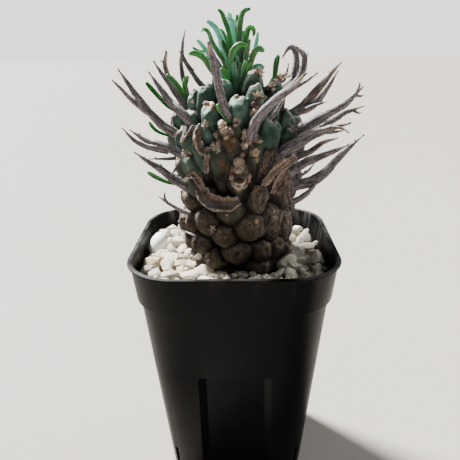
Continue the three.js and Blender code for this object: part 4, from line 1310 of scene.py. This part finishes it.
def addBranch(pile, section, seed, startRadius, endRadius, course):
    line, shares, length = spaced([placeAt(*place) for place in course], stalk["spacing"])
    shake = np.column_stack([waves(line, stalk["wobbleScale"], seed + k) for k in (0.1, 0.4, 0.7)])
    wobble = stalk["wobble"] * min(1, length / stalk["wobbleLength"])
    line = line + shake * wobble * np.sin(np.pi * (0.1 + 0.9 * shares))[:, None]
    swell = 1 + stalk["swell"] * waves(line, stalk["swellScale"], seed)
    slimmer = np.clip((shares - 1) / stalk["tipShare"] + 1, 0, 1) * stalk["tipSlimmer"]
    radii = (startRadius + (endRadius - startRadius) * shares ** stalk["endPower"]) * swell * (1 - slimmer)
    addSwept(pile, line, radii, section, seed)
    if length < stalk["bareBelow"]:
        return
    # little dried bracts, and the split end
    ahead = unit(line[-1] - line[0])
    across = alongside(course[-1][0])
    above = unit(np.cross(ahead, across))
    count = stalk["stubPoints"]
    taper = np.linspace(*stalk["stubTaper"], count) * stalk["stubRadius"]
    stubs = int(length / stalk["stubEvery"] + draw(seed, 79))
    for k in range(stubs):
        place = mix(*stalk["stubPlaces"], (k + draw(seed, 80 + k)) / stubs)
        low = round(place * (len(line) - 1))
        a = 2 * math.pi * draw(seed, 90 + k)
        way = unit(across * math.cos(a) + above * math.sin(a) + ahead * stalk["stubAhead"])
        reach = drawBetween(*stalk["stubLength"], seed, 100 + k) + radii[low]
        stub = line[low] + np.outer(np.linspace(0, reach, count), way)
        addSwept(pile, stub, taper, section, seed + 60 + k)
    a = 4 * draw(seed, 111)
    away = across * math.cos(a) + above * math.sin(a)
    for k in (-1, 1):
        way = unit(unit(line[-1] - line[-2]) + stalk["splitSpread"] * k * away)
        reach = drawBetween(*stalk["splitLength"], seed, 112 + k)
        split = line[-1] + np.outer(np.linspace(stalk["splitRoot"], 1, count) * reach, way)
        addSwept(pile, split, np.linspace(*stalk["splitTaper"], count) * endRadius, section, seed + 80 + k)


def hiddenBranchList():
    # each has a fork near its end
    found = []
    steps, rootDepth, forkLength = (hiddenStalks[key] for key in ("steps", "rootDepth", "forkLength"))
    for row, (root, count, fromSide, toSide, longest, steepest) in enumerate(hiddenStalks["rows"]):
        for i in range(count):
            n = row * 4 + i
            place = i + hiddenStalks["firstShare"] + hiddenStalks["oddRowShift"] * (row % 2)
            side = mix(fromSide, toSide, (place + sway(hiddenStalks["swaySide"], n, 11)) / count)
            height = root + sway(hiddenStalks["swayHeight"], n, 12)
            length = longest * drawBetween(hiddenStalks["shortest"], 1, n, 13)
            rise = steepest * drawBetween(hiddenStalks["flattest"], 1, n, 14)
            reach = valueAt(spiral["reach"], height) - rootDepth
            course = []
            for step in range(steps + 1):
                course.append((side, reach, height))
                curled = hiddenStalks["curl"] * (step - hiddenStalks["curlFrom"]) / hiddenStalks["curlOver"]
                angle = math.radians(rise + curled)
                reach += math.cos(angle) * (length + rootDepth) / steps
                height += math.sin(angle) * (length + rootDepth) / steps
            radius = drawBetween(*hiddenStalks["radius"], n, 15)
            found.append((radius, hiddenStalks["tipRadius"], course))
            fork = course[hiddenStalks["forkAt"]]
            turn = hiddenStalks["forkTurn"] if draw(n, 16) > 0.5 else -hiddenStalks["forkTurn"]
            tip = (side + turn, fork[1] + forkLength * math.cos(angle),
                   fork[2] + forkLength * math.sin(angle) + hiddenStalks["forkLift"])
            course = [fork, [mix(a, b, 0.5) for a, b in zip(fork, tip)], tip]
            found.append((radius * hiddenStalks["forkRadius"], hiddenStalks["forkTipRadius"], course))
    return found


def makeDeadWood():
    material, tree, shader = newMaterial("deadWood", {"Specular IOR Level": 0.25})
    grain = markOf(tree, "grain", "Vector")
    streaks = noiseOf(stretched(grain, 0.16, 1.7, 1.7), 1.0, 6.0, 0.65)
    specks = noiseOf(grain, 1.3, 5.0, 0.6)
    both = rangeOf(mixColour(0.35, streaks, specks), 0.34, 0.66)
    wood = rampOf(both, [(0, "1c1819"), (0.35, "433c3f"), (0.7, "736c70"), (1, "b2acad")])
    warm = rampOf(both, [(0, "3f3026"), (0.4, "746050"), (0.8, "a8937f"), (1, "cdbba6")])
    warmth = plus(markOf(tree, "tone"), centred(noiseOf(grain, 0.22, 3.0), 1.0))
    colour = mixColour(rangeOf(warmth, 0.8, 1.25), wood, warm)
    colour = mixColour(rangeOf(markOf(tree, "share"), 0.86, 1.0, 0.0, 0.5), colour, paint("c3ab8a"))
    # a painted highlight: paler on the faces that look up
    colour = mixColour(times(settledAndLitOn(placeOf(tree), 300.0, 0.4), 0.85), colour, paint("c6c7cc"))
    # the dark mark: painted shade in the peeled strips' hollows and in the crumb inside a ring of crumbs, and
    # elsewhere the crumbs' own darker colour
    colour = mixColour(markOf(tree, "dark"), colour, paint("2a1a10"))
    relief = plus(plus(streaks, specks), times(noiseOf(stretched(grain, 0.5, 4, 4), 1.0, 5.0), 0.5))
    feed(shader, colour=colour, roughness=rangeOf(both, 0, 1, 0.8, 0.6), normal=bumpOf(relief, 0.6, 0.35))
    return material


def roughen(piece, seed, height=1.0):
    # small lumps all over, and the piece is set over the stem
    points, normals = pointsAndNormals(piece.data)
    rough = height * layered(points, stalk["lumps"], seed)
    movePoints(piece.data, points + normals * rough[:, None] + stemAxis)


def makeStalks(material):
    section = sectionCurve("furrowedSection")
    pile = newPile()
    for n, branch in enumerate(seenBranches + hiddenBranchList()):
        addBranch(pile, section, 500 + n, *branch)
    bpy.data.objects.remove(section)
    wood = pieceFromPile("flowerStalks", pile)
    roughen(wood, 4)
    finishPiece(wood, material, "stem", stalk["creaseAngle"])


def makePeeledStrips(material):
    # each is a grid laid along its course and bent round, and then thickened
    pile = newPile()
    for n, (width, thickness, course, hollow) in enumerate(peeledStrips):
        line, shares = spaced([placeAt(*place) for place in course], stripShape["spacing"])[:2]
        last = len(line) - 1
        strip = newGrid(stripShape["cells"], last, 2)
        opening = slope(*hollow)
        hearts, sizes = np.zeros((len(line), 3)), np.zeros(len(line))
        for point in strip.data.vertices:
            row = round((point.co.y + 1) / 2 * last)
            ahead = unit(line[min(row + 1, last)] - line[max(row - 1, 0)])
            across = unit(np.cross(ahead, opening))
            inward = np.cross(across, ahead)
            one = n * 50 + row
            grow = stripShape["ends"] + stripShape["wider"] * math.sin(math.pi * (0.12 + 0.8 * shares[row]))
            grow += stripShape["ragged"] * draw(one, 150)
            a = point.co.x * (stripShape["openness"] + sway(stripShape["swayOpenness"], one, 151))
            a += sway(stripShape["swayTurn"], one, 152)
            sizes[row] = width / 2 * grow
            hearts[row] = line[row] + inward * stripShape["hollow"] * sizes[row]
            place = hearts[row] + (across * math.sin(a) - inward * math.cos(a)) * sizes[row]
            point.co = place * mm
        points, faces = takeThickened(strip, thickness)
        grain, share = grainAlong(points, line)
        # the hollow side is painted darker, as shade
        row = np.linalg.norm(points[:, None, :] - line[None, :, :], axis=2).argmin(axis=1)
        inside = (sizes[row] - np.linalg.norm(points - hearts[row], axis=1)) / thickness
        facing = np.clip(((hearts[row] - points) @ opening) / sizes[row] + 0.2, 0, 1)
        addToPile(pile, points, faces, grain=grain + n * 11, share=share * 0.8, tone=1.1,
                  dark=np.clip(inside * stripShape["darkSharp"], 0, stripShape["darkest"]) * facing)
    strips = pieceFromPile("peeledStrips", pile)
    roughen(strips, 9, stripShape["rough"])
    finishPiece(strips, material, "stem", stalk["creaseAngle"])


# Leaves

leaf = {
    "width": 2.9, "thickness": 0.5, "channelDepth": 1.0, "steps": 24,
    "cellsAcross": 4, "cellsAlong": 14, "blankThickness": 0.12,
    "profile": [[0, 0.46], [0.15, 0.6], [0.5, 0.82], [0.76, 1.0], [0.88, 0.98], [0.95, 0.8], [1, 0.45]],
    "middle": 1.25, "thinner": 0.55, "flatter": 0.55, "twist": 0.9, "finestStep": 0.01,
    # where the channel faces: leaves that start further forward than this turn it to the back
    "forward": -2, "fan": -0.03, "facingUp": 0.3, "singleFacing": (0, -0.8, 0.6),
}
# Leaves of the tuft that are seen: width share, paleness, and their course from the stem's axis
seenTuftLeaves = [
    (0.75, 0.05, [(-0.5, 0, 184), (-2, 0.5, 199.5), (-3.5, 1, 208.5), (-5, 2, 212.5), (-6, 2.5, 215.5),
                  (-8, 3, 217)]),
    (1.2, 0.95, [(0, 2, 184), (-1, 2.5, 197), (-1.5, 3, 203.5), (-2, 3, 209), (-3, 3.5, 213.5),
                 (-3, 4, 216)]),
    (0.6, 0.7, [(1.5, 0, 184), (1.5, 0, 197.5), (1.5, 0, 205.5), (0.5, 0, 209.5), (-1.5, 0, 212.5),
                (-4.5, 0, 214)]),
    (0.7, 0, [(1, 1, 184), (1, 1.5, 197.5), (0.5, 1.5, 207), (0, 2, 215)]),
    (0.8, 0.05, [(1, -1, 184), (1, -1, 197.5), (1, -1.5, 207), (1.5, -1.5, 212), (2.5, -2, 215.5),
                 (5.5, -2, 216.5)]),
    (1.15, 0.9, [(-1.5, 1, 183), (-2.5, 1, 193), (-4.5, 1.5, 199.5), (-6.5, 1.5, 205), (-9, 2, 210),
                 (-12.5, 2, 213)]),
    (0.8, 0.05, [(-0.5, 3, 183), (-1.5, 3.5, 197), (-3.5, 4, 203), (-5.5, 4.5, 207.5), (-7, 5, 210)]),
    (0.95, 0.05, [(-2, -1, 182), (-4.5, -1, 194.5), (-8, -1, 200.5), (-10.5, -1, 205), (-12, -1, 209),
                  (-15, -1, 209)]),
    (0.65, 0.8, [(-2, 0, 182), (-7, 0.5, 193), (-10.5, 1, 198), (-13, 1.5, 202), (-16.5, 2, 206)]),
    (0.95, 0.1, [(-2, -3, 182), (-7.5, -3, 189.5), (-11, -3.5, 194.5), (-13.5, -3.5, 198.5),
                 (-16.5, -4, 200.5), (-19.5, -4, 200.5)]),
    (0.55, 0.05, [(-3, 0, 183), (-10, 0.5, 195), (-13.5, 0.5, 199.5), (-18.5, 1, 203)]),
    (0.8, 0, [(0, -4, 182), (-1.5, -6, 192.5), (-2.5, -6.5, 198), (-1.5, -7.5, 201.5), (1, -8, 203.5),
              (4, -9, 203)]),
    (0.85, 0.05, [(2, 0, 183), (3, 0, 197.5), (3.5, 0, 205), (4.5, 0, 209.5), (6, 0, 210), (7, 0, 208.5),
                  (6.5, 0, 206.5)]),
    (0.9, 0, [(1, 2, 183), (2, 2.5, 197), (3, 3.5, 203.5), (2.5, 4, 209)]),
    (0.6, 0.85, [(3, 0, 183), (5.5, 0.5, 195.5), (7.5, 1.5, 203), (8.5, 2, 208.5)]),
    (0.85, 0.15, [(1.5, -4, 182), (3, -4.5, 194), (4, -4.5, 200.5), (5, -5, 205.5)]),
    (0.95, 0.1, [(3, -3, 182), (5, -3, 192.5), (6, -3.5, 197.5), (8, -4, 201.5), (11, -4, 201)]),
    (0.8, 0.4, [(-0.5, -5, 182), (-1, -6.5, 192), (-1.5, -7, 197.5)]),
    (0.8, 0.3, [(1.5, -5, 182), (2, -7, 191), (3.5, -8, 197.5)]),
    (0.8, 0.05, [(2.5, -4, 182), (4.5, -6, 190), (5.5, -7, 197)]),
    (0.8, 0.1, [(0, -4, 182), (1, -5, 190), (1.5, -5, 197)]),
    (0.8, 0.05, [(-2, -3, 182), (-4, -4.5, 191), (-5.5, -5, 198)]),
    (0.8, 0.1, [(1, -2, 182), (-1.5, -2, 194), (-4.5, -2, 201.5), (-6, -2, 205.5)]),
    (0.8, 0.1, [(-1, -5, 182), (-3.5, -7, 190.5), (-6.5, -8, 195)]),
    (0.8, 0.05, [(3, -3, 182), (6.5, -5, 190), (8, -6, 194.5)]),
    (0.75, 0.3, [(0, -3, 182), (-0.5, -3, 194), (0, -3, 199.5)]),
    (0.8, 0.05, [(2, -2, 182), (4, -2, 192.5), (3.5, -2, 198.5)]),
]
singleLeaves = [
    (0.8, 0.05, [(-23, 3, 174), (-26.5, 6, 176.5), (-30.5, 6, 179), (-35.5, 6, 184.5), (-39.5, 6, 189.5)]),
    (0.8, 0.05, [(-16, 3, 176), (-18, 4, 178.5), (-22, 4, 182.5), (-26, 4, 188.5), (-30, 4, 192.5)]),
    (0.85, 0, [(-17.5, 0, 176), (-19.5, 0, 179.5), (-21.5, 0, 184), (-22, 0, 188), (-20.5, 0, 192)]),
    (0.75, 0, [(-25, 0, 145), (-31.5, 0, 146.5), (-34.5, -0.5, 148), (-37.5, -1.5, 150), (-40.2, -2, 152)]),
    (0.85, 0, [(-1.5, -21, 171), (-2.5, -23, 174.5), (-4, -24, 177.5), (-6, -25, 180.5), (-7.5, -26, 183)]),
    (0.85, 0.25, [(14, -6, 183), (14.5, -6, 187), (15, -5.5, 191.5), (15.5, -4.5, 196), (16.5, -4, 199.5)]),
    (0.85, 0.1, [(10, 17, 176), (13, 24, 180), (16, 30, 187), (18, 33, 190)]),
    (0.85, 0.1, [(-9, 20, 172), (-12, 27, 176), (-15, 32, 182), (-18, 34, 186)]),
    (0.6, 0, [(-24, -3, 166.5), (-30.5, -4, 168.3), (-33.6, -5, 169.8), (-35.6, -5, 171.5),
              (-37.3, -5, 174.2)]),
    (0.5, 0, [(-23, -4, 150), (-29.5, -5, 151.5), (-32.5, -5, 153.5), (-33.8, -5, 156.3)]),
]
# Those behind: how many, the angles they stand at, how long they are, how steep, and how far they bend
backTuft = {
    "count": 22, "fromSide": 122, "toSide": 240, "length": (20, 30), "rise": (66, 86), "bend": (10, 90),
    "swaySide": 0.6, "reach": (1.5, 4.5), "root": 182, "steps": 6, "bendPower": 2.6, "swayFacing": 0.8,
    "width": (0.75, 1.1), "pale": 0.6, "deep": 0.12, "paleShare": 0.25,
}


def makeLeafBlank():
    # a blade one unit long and one wide, with its thickness: X across, Y along, Z through
    blank = newGrid(leaf["cellsAcross"], leaf["cellsAlong"], mm)
    for point in blank.data.vertices:
        point.co.y += 0.5 * mm
        point.co.x *= valueAt(leaf["profile"], point.co.y / mm)
    points, faces = takeThickened(blank, leaf["blankThickness"])
    points[:, 2] *= 1 / leaf["blankThickness"]
    return points, faces


def smoothLine(course, steps):
    # a rounded line through every point of a course
    knots = np.array(course, float)
    knots = np.vstack([2 * knots[0] - knots[1], knots, 2 * knots[-1] - knots[-2]])
    at = np.linspace(0, len(course) - 1, steps + 1)
    low = np.minimum(at.astype(int), len(course) - 2)
    t = (at - low)[:, None]
    a, b, c, d = (knots[low + k] for k in range(4))
    bend, twist = 2 * a - 5 * b + 4 * c - d, 3 * b - a - 3 * c + d
    return 0.5 * (2 * b + (c - a) * t + bend * t ** 2 + twist * t ** 3)


def addLeaf(pile, blank, course, facing, widthShare, pale, seed):
    points, faces = blank
    steps = leaf["steps"]
    line = spaced(smoothLine(course, steps), leaf["finestStep"])[0]
    line = line[np.linspace(0, len(line) - 1, steps + 1).astype(int)]
    ways = np.gradient(line, axis=0)
    ways /= np.linalg.norm(ways, axis=1)[:, None]
    rights = np.cross(ways, facing)
    rights /= np.linalg.norm(rights, axis=1)[:, None]
    along = np.clip(points[:, 1], 0, 1)
    low = np.minimum((along * steps).astype(int), steps - 1)
    part = (along * steps - low)[:, None]
    middle, way, right = (rows[low] * (1 - part) + rows[low + 1] * part for rows in (line, ways, rights))
    upper = np.cross(right, way)
    angle = (sway(leaf["twist"], seed, 120) * (0.3 + along))[:, None]
    cosine, sine = np.cos(angle), np.sin(angle)
    right, upper = right * cosine + upper * sine, upper * cosine - right * sine
    edge = np.abs(points[:, 0]) * 2
    # thickest along the middle, with a channel along the upper side
    thick = points[:, 2] * leaf["thickness"] * (leaf["middle"] - leaf["thinner"] * edge ** 2)
    cup = leaf["channelDepth"] * widthShare * edge ** 2 * (1 - leaf["flatter"] * along)
    placed = middle + right * points[:, 0:1] * leaf["width"] * widthShare + upper * (cup + thick)[:, None]
    addToPile(pile, placed + stemAxis, faces, pale=pale, edge=edge, share=along, tone=draw(seed, 122))


def makeLeafSkin():
    material, tree, shader = newMaterial("leafSkin", {
        "Specular IOR Level": 0.5, "Subsurface Weight": 0.35, "Subsurface Scale": 0.002,
        "Subsurface Radius": (0.5, 1.0, 0.6)})
    place = placeOf(tree)
    share = markOf(tree, "share")
    patches = mottled(place, 160.0, 900.0, 0.4)
    # darker towards the root, as painted shade
    fresh = rampOf(share, [(0, "12330f"), (0.35, "164017"), (0.8, "1d511c"), (1, "346c2a")])
    deep = mixColour(rangeOf(markOf(tree, "tone"), 0.2, 1.0, 0, 0.75), fresh, paint("12311f"))
    colour = mixColour(rangeOf(patches, 0, 1, 0, 0.22), deep, paint("4c7d38"))
    # a pale bloom, thinner towards the root, and a pale rim
    bloom = rangeOf(plus(markOf(tree, "pale"), centred(patches, 0.5)), 0.3, 0.9)
    bloom = times(bloom, rangeOf(share, 0.1, 0.75, 0.45, 0.95))
    colour = mixColour(times(bloom, rangeOf(patches, 0.2, 0.8, 0.75, 1.0)), colour, paint("7bb6ba"))
    rim = times(rangeOf(markOf(tree, "edge"), 0.8, 1.0), 0.5)
    feed(shader, colour=mixColour(rim, colour, paint("b5cfae")), roughness=rangeOf(bloom, 0, 1, 0.4, 0.6),
         normal=bumpOf(noiseOf(place, 1600.0), 0.25, 0.15))
    return material


def backLeafCourse(n):
    share = (n + 0.5 + sway(backTuft["swaySide"], n, 130)) / backTuft["count"]
    side = mix(backTuft["fromSide"], backTuft["toSide"], share)
    place = placeAt(side, drawBetween(*backTuft["reach"], n, 131), backTuft["root"])
    length = drawBetween(*backTuft["length"], n, 132)
    rise = drawBetween(*backTuft["rise"], n, 133)
    bend = drawBetween(*backTuft["bend"], n, 134)
    steps = backTuft["steps"]
    course = [place]
    for step in range(steps):
        bent = rise - bend * (step / (steps - 1)) ** backTuft["bendPower"]
        place = place + slope(side, bent) * length / steps
        course.append(place)
    return course, unit(slope(side, 90 + rise) + sway(backTuft["swayFacing"], n, 137) * alongside(side))


def makeLeaves():
    blank = makeLeafBlank()
    material = makeLeafSkin()
    tuft = newPile()
    for n, (width, pale, course) in enumerate(seenTuftLeaves):
        towards = -1 if course[0][1] >= leaf["forward"] else 1
        facing = unit(np.array([leaf["fan"] * course[-1][0], towards, leaf["facingUp"]]))
        addLeaf(tuft, blank, course, facing, width, pale, 700 + n)
    for n in range(backTuft["count"]):
        course, facing = backLeafCourse(n)
        pale = backTuft["pale"] if draw(n, 136) > 1 - backTuft["paleShare"] else backTuft["deep"]
        addLeaf(tuft, blank, course, facing, drawBetween(*backTuft["width"], n, 135), pale, 760 + n)
    finishPiece(pieceFromPile("leafTuft", tuft), material, "leaf_tuft")
    singles = newPile()
    for n, (width, pale, course) in enumerate(singleLeaves):
        addLeaf(singles, blank, course, unit(np.array(leaf["singleFacing"])), width, pale, 800 + n)
    finishPiece(pieceFromPile("singleLeaves", singles), material, "stem")


# Dried flower remnants on the ends of tubercles

# side, reach, height, size, number of petals, how much they stand up
flowerRemnants = [
    (-26, 27.6, 131.8, 2.5, 6, 0.35), (19, 24, 185, 2.4, 10, 0.9), (25, 22, 184.5, 1.6, 7, 0.6),
    (32, 16, 196, 2.8, 9, 0.8), (44, 17.5, 196.5, 2.4, 9, 0.9), (55, 20, 192.5, 2.9, 10, 0.8),
    (62, 20, 191, 2.4, 8, 0.6), (84, 20.5, 191, 1.7, 8, 0.8), (60, 25.8, 141.5, 2.6, 6, 0.4),
    (-70, 27, 173, 1.4, 6, 0.7), (-34, 21, 185.5, 1.2, 6, 0.7), (150, 25, 172, 2.0, 7, 0.6),
    (190, 25.5, 150, 2.2, 7, 0.5), (230, 24.5, 163, 1.9, 6, 0.6),
]
# Broken stumps and crumbs of dried flower: side, reach, height, half width, half height, how dark; the
# darkest, inside a ring of crumbs, is painted shade in the ring's hollow
stumps = [
    (1, 27.5, 161, 1.9, 2.8, 0), (2.6, 27.6, 162.6, 1.0, 0.9, 0), (3.5, 27.8, 163.6, 1.0, 1.1, 0),
    (0, 27.4, 158.4, 1.6, 1.2, 0), (-5, 27.6, 155.5, 0.9, 1.2, 0), (-4, 27.8, 153.6, 0.9, 0.8, 0),
    (0, 28, 152.3, 1.1, 0.6, 0.1), (5, 28, 152, 1.2, 0.7, 0), (9, 27.8, 153.4, 0.9, 1.0, 0),
    (10, 27.5, 155.4, 0.8, 1.3, 0), (1.5, 26.8, 154.8, 1.5, 1.0, 0.95), (14, 27.8, 169.6, 1.5, 1.3, 0.2),
    (17, 28, 169.2, 1.2, 0.6, 0.1), (12, 28, 167.6, 0.9, 0.8, 0.6), (13.5, 27.6, 165.2, 1.1, 1.5, 0.1),
    (15, 27.6, 162.4, 0.8, 1.1, 0.2), (10.5, 27.8, 165, 0.5, 1.6, 0.3), (6.5, 27.4, 172.8, 1.1, 1.1, 0),
    (4.6, 27.6, 170.8, 0.7, 1.2, 0), (5, 27.8, 167.6, 0.9, 1.4, 0), (7.6, 27.6, 169.4, 0.6, 1.2, 0.5),
    (-9.5, 27.4, 173.8, 1.0, 0.9, 0.1), (-5, 27.4, 173.4, 1.0, 0.8, 0.3), (20, 23, 183.4, 1.3, 1.6, 0.8),
    (17, 24, 182, 1.0, 1.3, 0.7), (23, 22.5, 185.6, 0.8, 0.8, 0.2), (32, 15, 194.6, 1.3, 1.2, 0.4),
    (56, 20, 191, 1.5, 1.4, 0.5), (50, 20, 191.5, 0.9, 0.9, 0), (-28, 26.8, 175.8, 1.0, 1.4, 0),
    (-19, 27.6, 171.2, 1.1, 1.4, 0), (-16, 27.8, 168.6, 0.8, 1.4, 0.1), (-50, 27.5, 164.2, 1.0, 1.2, 0.1),
    (-85, 29, 172.5, 1.4, 1.5, 0.1), (-84, 28, 175, 1.1, 1.3, 0.2), (45, 20.5, 187, 0.9, 0.6, 0),
    (40, 17, 197, 1.1, 0.9, 0), (50, 18.5, 195, 1.0, 0.8, 0.1), (-33, 21.6, 184.2, 1.3, 1.0, 0.3),
    (-36, 21.5, 182.4, 1.0, 1.0, 0.6), (16, 27, 136.5, 0.8, 0.8, 0), (13.5, 27, 136.8, 0.8, 0.8, 0.8),
    (-33.5, 26.3, 119.5, 0.9, 1.5, 0), (-31, 26.2, 118, 1.0, 0.6, 0), (-43, 27, 139.8, 0.8, 0.7, 0.1),
    (-3.5, 26.8, 124.8, 0.6, 0.6, 0.2), (-10, 27.6, 140, 0.5, 0.5, 0), (33, 30, 175, 0.35, 0.35, 0),
    (57, 29, 168, 0.4, 0.4, 0), (-30, 29, 171, 0.4, 0.4, 0), (-6, 24, 186.6, 0.4, 0.4, 0),
    (84, 20, 189.6, 1.8, 1.4, 0.7), (120, 25.5, 160, 1.6, 2.2, 0), (165, 25.5, 166, 1.5, 2.0, 0.3),
    (215, 25, 144, 1.6, 2.1, 0), (-100, 26, 160, 1.3, 1.8, 0.2),
]
remnantShape = {
    "cellsAcross": 2, "cellsAlong": 6, "thickness": 0.09, "petalWidth": 0.3, "petalCurl": 0.28,
    "petalFold": 0.8,
    "stand": (0.5, 1.3), "size": (0.7, 1.3), "rise": 35, "out": 0.4, "heart": 0.24,
    "crumbLumps": [(0.5, 0.7, 0.2), (0.45, 0.32, 0.7)], "flatter": 0.8, "stumpOut": 0.15, "creaseAngle": 60,
    # how the skin under a remnant is looked for
    "lookFrom": 8, "lookFromAbove": 6, "lookFar": 20, "deepest": 4,
}


def onSkin(skin, side, reach, height):
    # the place on the stem's surface that is nearest inwards of a point, or below it at the crown
    middle = placeAt(side, reach, height) + stemAxis
    far = remnantShape["lookFar"] * mm
    start = middle + outwards(side) * remnantShape["lookFrom"]
    hit = skin.ray_cast(Vector(start * mm), Vector(-outwards(side)), far)[0]
    if hit is None or (middle - np.array(hit) / mm) @ outwards(side) > remnantShape["deepest"]:
        start = middle + [0, 0, remnantShape["lookFromAbove"]]
        hit = skin.ray_cast(Vector(start * mm), Vector((0, 0, -1)), far)[0] or hit
    return (middle if hit is None else np.array(hit) / mm) - stemAxis


def makePetal():
    petal = newGrid(remnantShape["cellsAcross"], remnantShape["cellsAlong"], mm)
    for point in petal.data.vertices:
        point.co.y += 0.5 * mm
        along = point.co.y / mm
        point.co.x *= remnantShape["petalWidth"] * math.sin(math.pi * min(0.96, 0.2 + along * 0.78))
        fold = remnantShape["petalFold"] * abs(point.co.x / mm)
        point.co.z = (remnantShape["petalCurl"] * along ** 2 + fold) * mm
    return takeThickened(petal, remnantShape["thickness"])


def makeRemnants(material, body):
    skin = BVHTree.FromObject(body, bpy.context.evaluated_depsgraph_get())
    petal, petalFaces = makePetal()
    crumb, crumbFaces = newShape(bpy.ops.mesh.primitive_ico_sphere_add, subdivisions=3, radius=mm)
    pile = newPile()
    for n, (side, reach, height, size, count, stand) in enumerate(flowerRemnants):
        middle = onSkin(skin, side, reach, height) + outwards(side) * remnantShape["out"]
        way = slope(side, remnantShape["rise"])
        right = alongside(side)
        upper = np.cross(way, right)
        for k in range(count):
            one = n * 20 + k
            a = 2 * math.pi * (k + 0.7 * draw(one, 140)) / count
            lift = stand * drawBetween(*remnantShape["stand"], one, 141)
            flat = right * math.cos(a) + upper * math.sin(a)
            ahead = unit(flat * math.cos(lift) + way * math.sin(lift))
            sideways = unit(np.cross(ahead, way))
            grow = size * drawBetween(*remnantShape["size"], one, 142)
            points = petal @ np.array([sideways, ahead, np.cross(sideways, ahead)]) * grow + middle
            grain = np.column_stack([petal[:, 1] * 3 + n * 7 + k, petal[:, 0] * 3, petal[:, 2]])
            addToPile(pile, points, petalFaces, grain=grain, share=1.0, tone=1.15, dark=0.0)
        heart = crumb * size * remnantShape["heart"]
        addToPile(pile, heart + middle, crumbFaces, grain=heart * 2 + n * 3, share=0.5, tone=0.7, dark=0.4)
    for n, (side, reach, height, across, tall, dark) in enumerate(stumps):
        shaped = crumb * (1 + layered(crumb, remnantShape["crumbLumps"], n))[:, None]
        out = outwards(side) * across
        axes = np.array([alongside(side) * across, out * remnantShape["flatter"], [0, 0, tall]])
        points = shaped @ axes + onSkin(skin, side, reach, height) + out * remnantShape["stumpOut"]
        addToPile(pile, points, crumbFaces, grain=shaped * 7 + n * 5, share=0.86 + 0.1 * draw(n, 143),
                  tone=drawBetween(0.85, 1.2, n, 144), dark=float(dark))
    remnants = pieceFromPile("flowerRemnants", pile)
    roughen(remnants, 12)
    finishPiece(remnants, material, "stem", remnantShape["creaseAngle"])


makePumice()
makePebble()
stemBody = makeStemBody()
deadWood = makeDeadWood()
makeStalks(deadWood)
makePeeledStrips(deadWood)
makeLeaves()
makeRemnants(deadWood, stemBody)

print("finished")
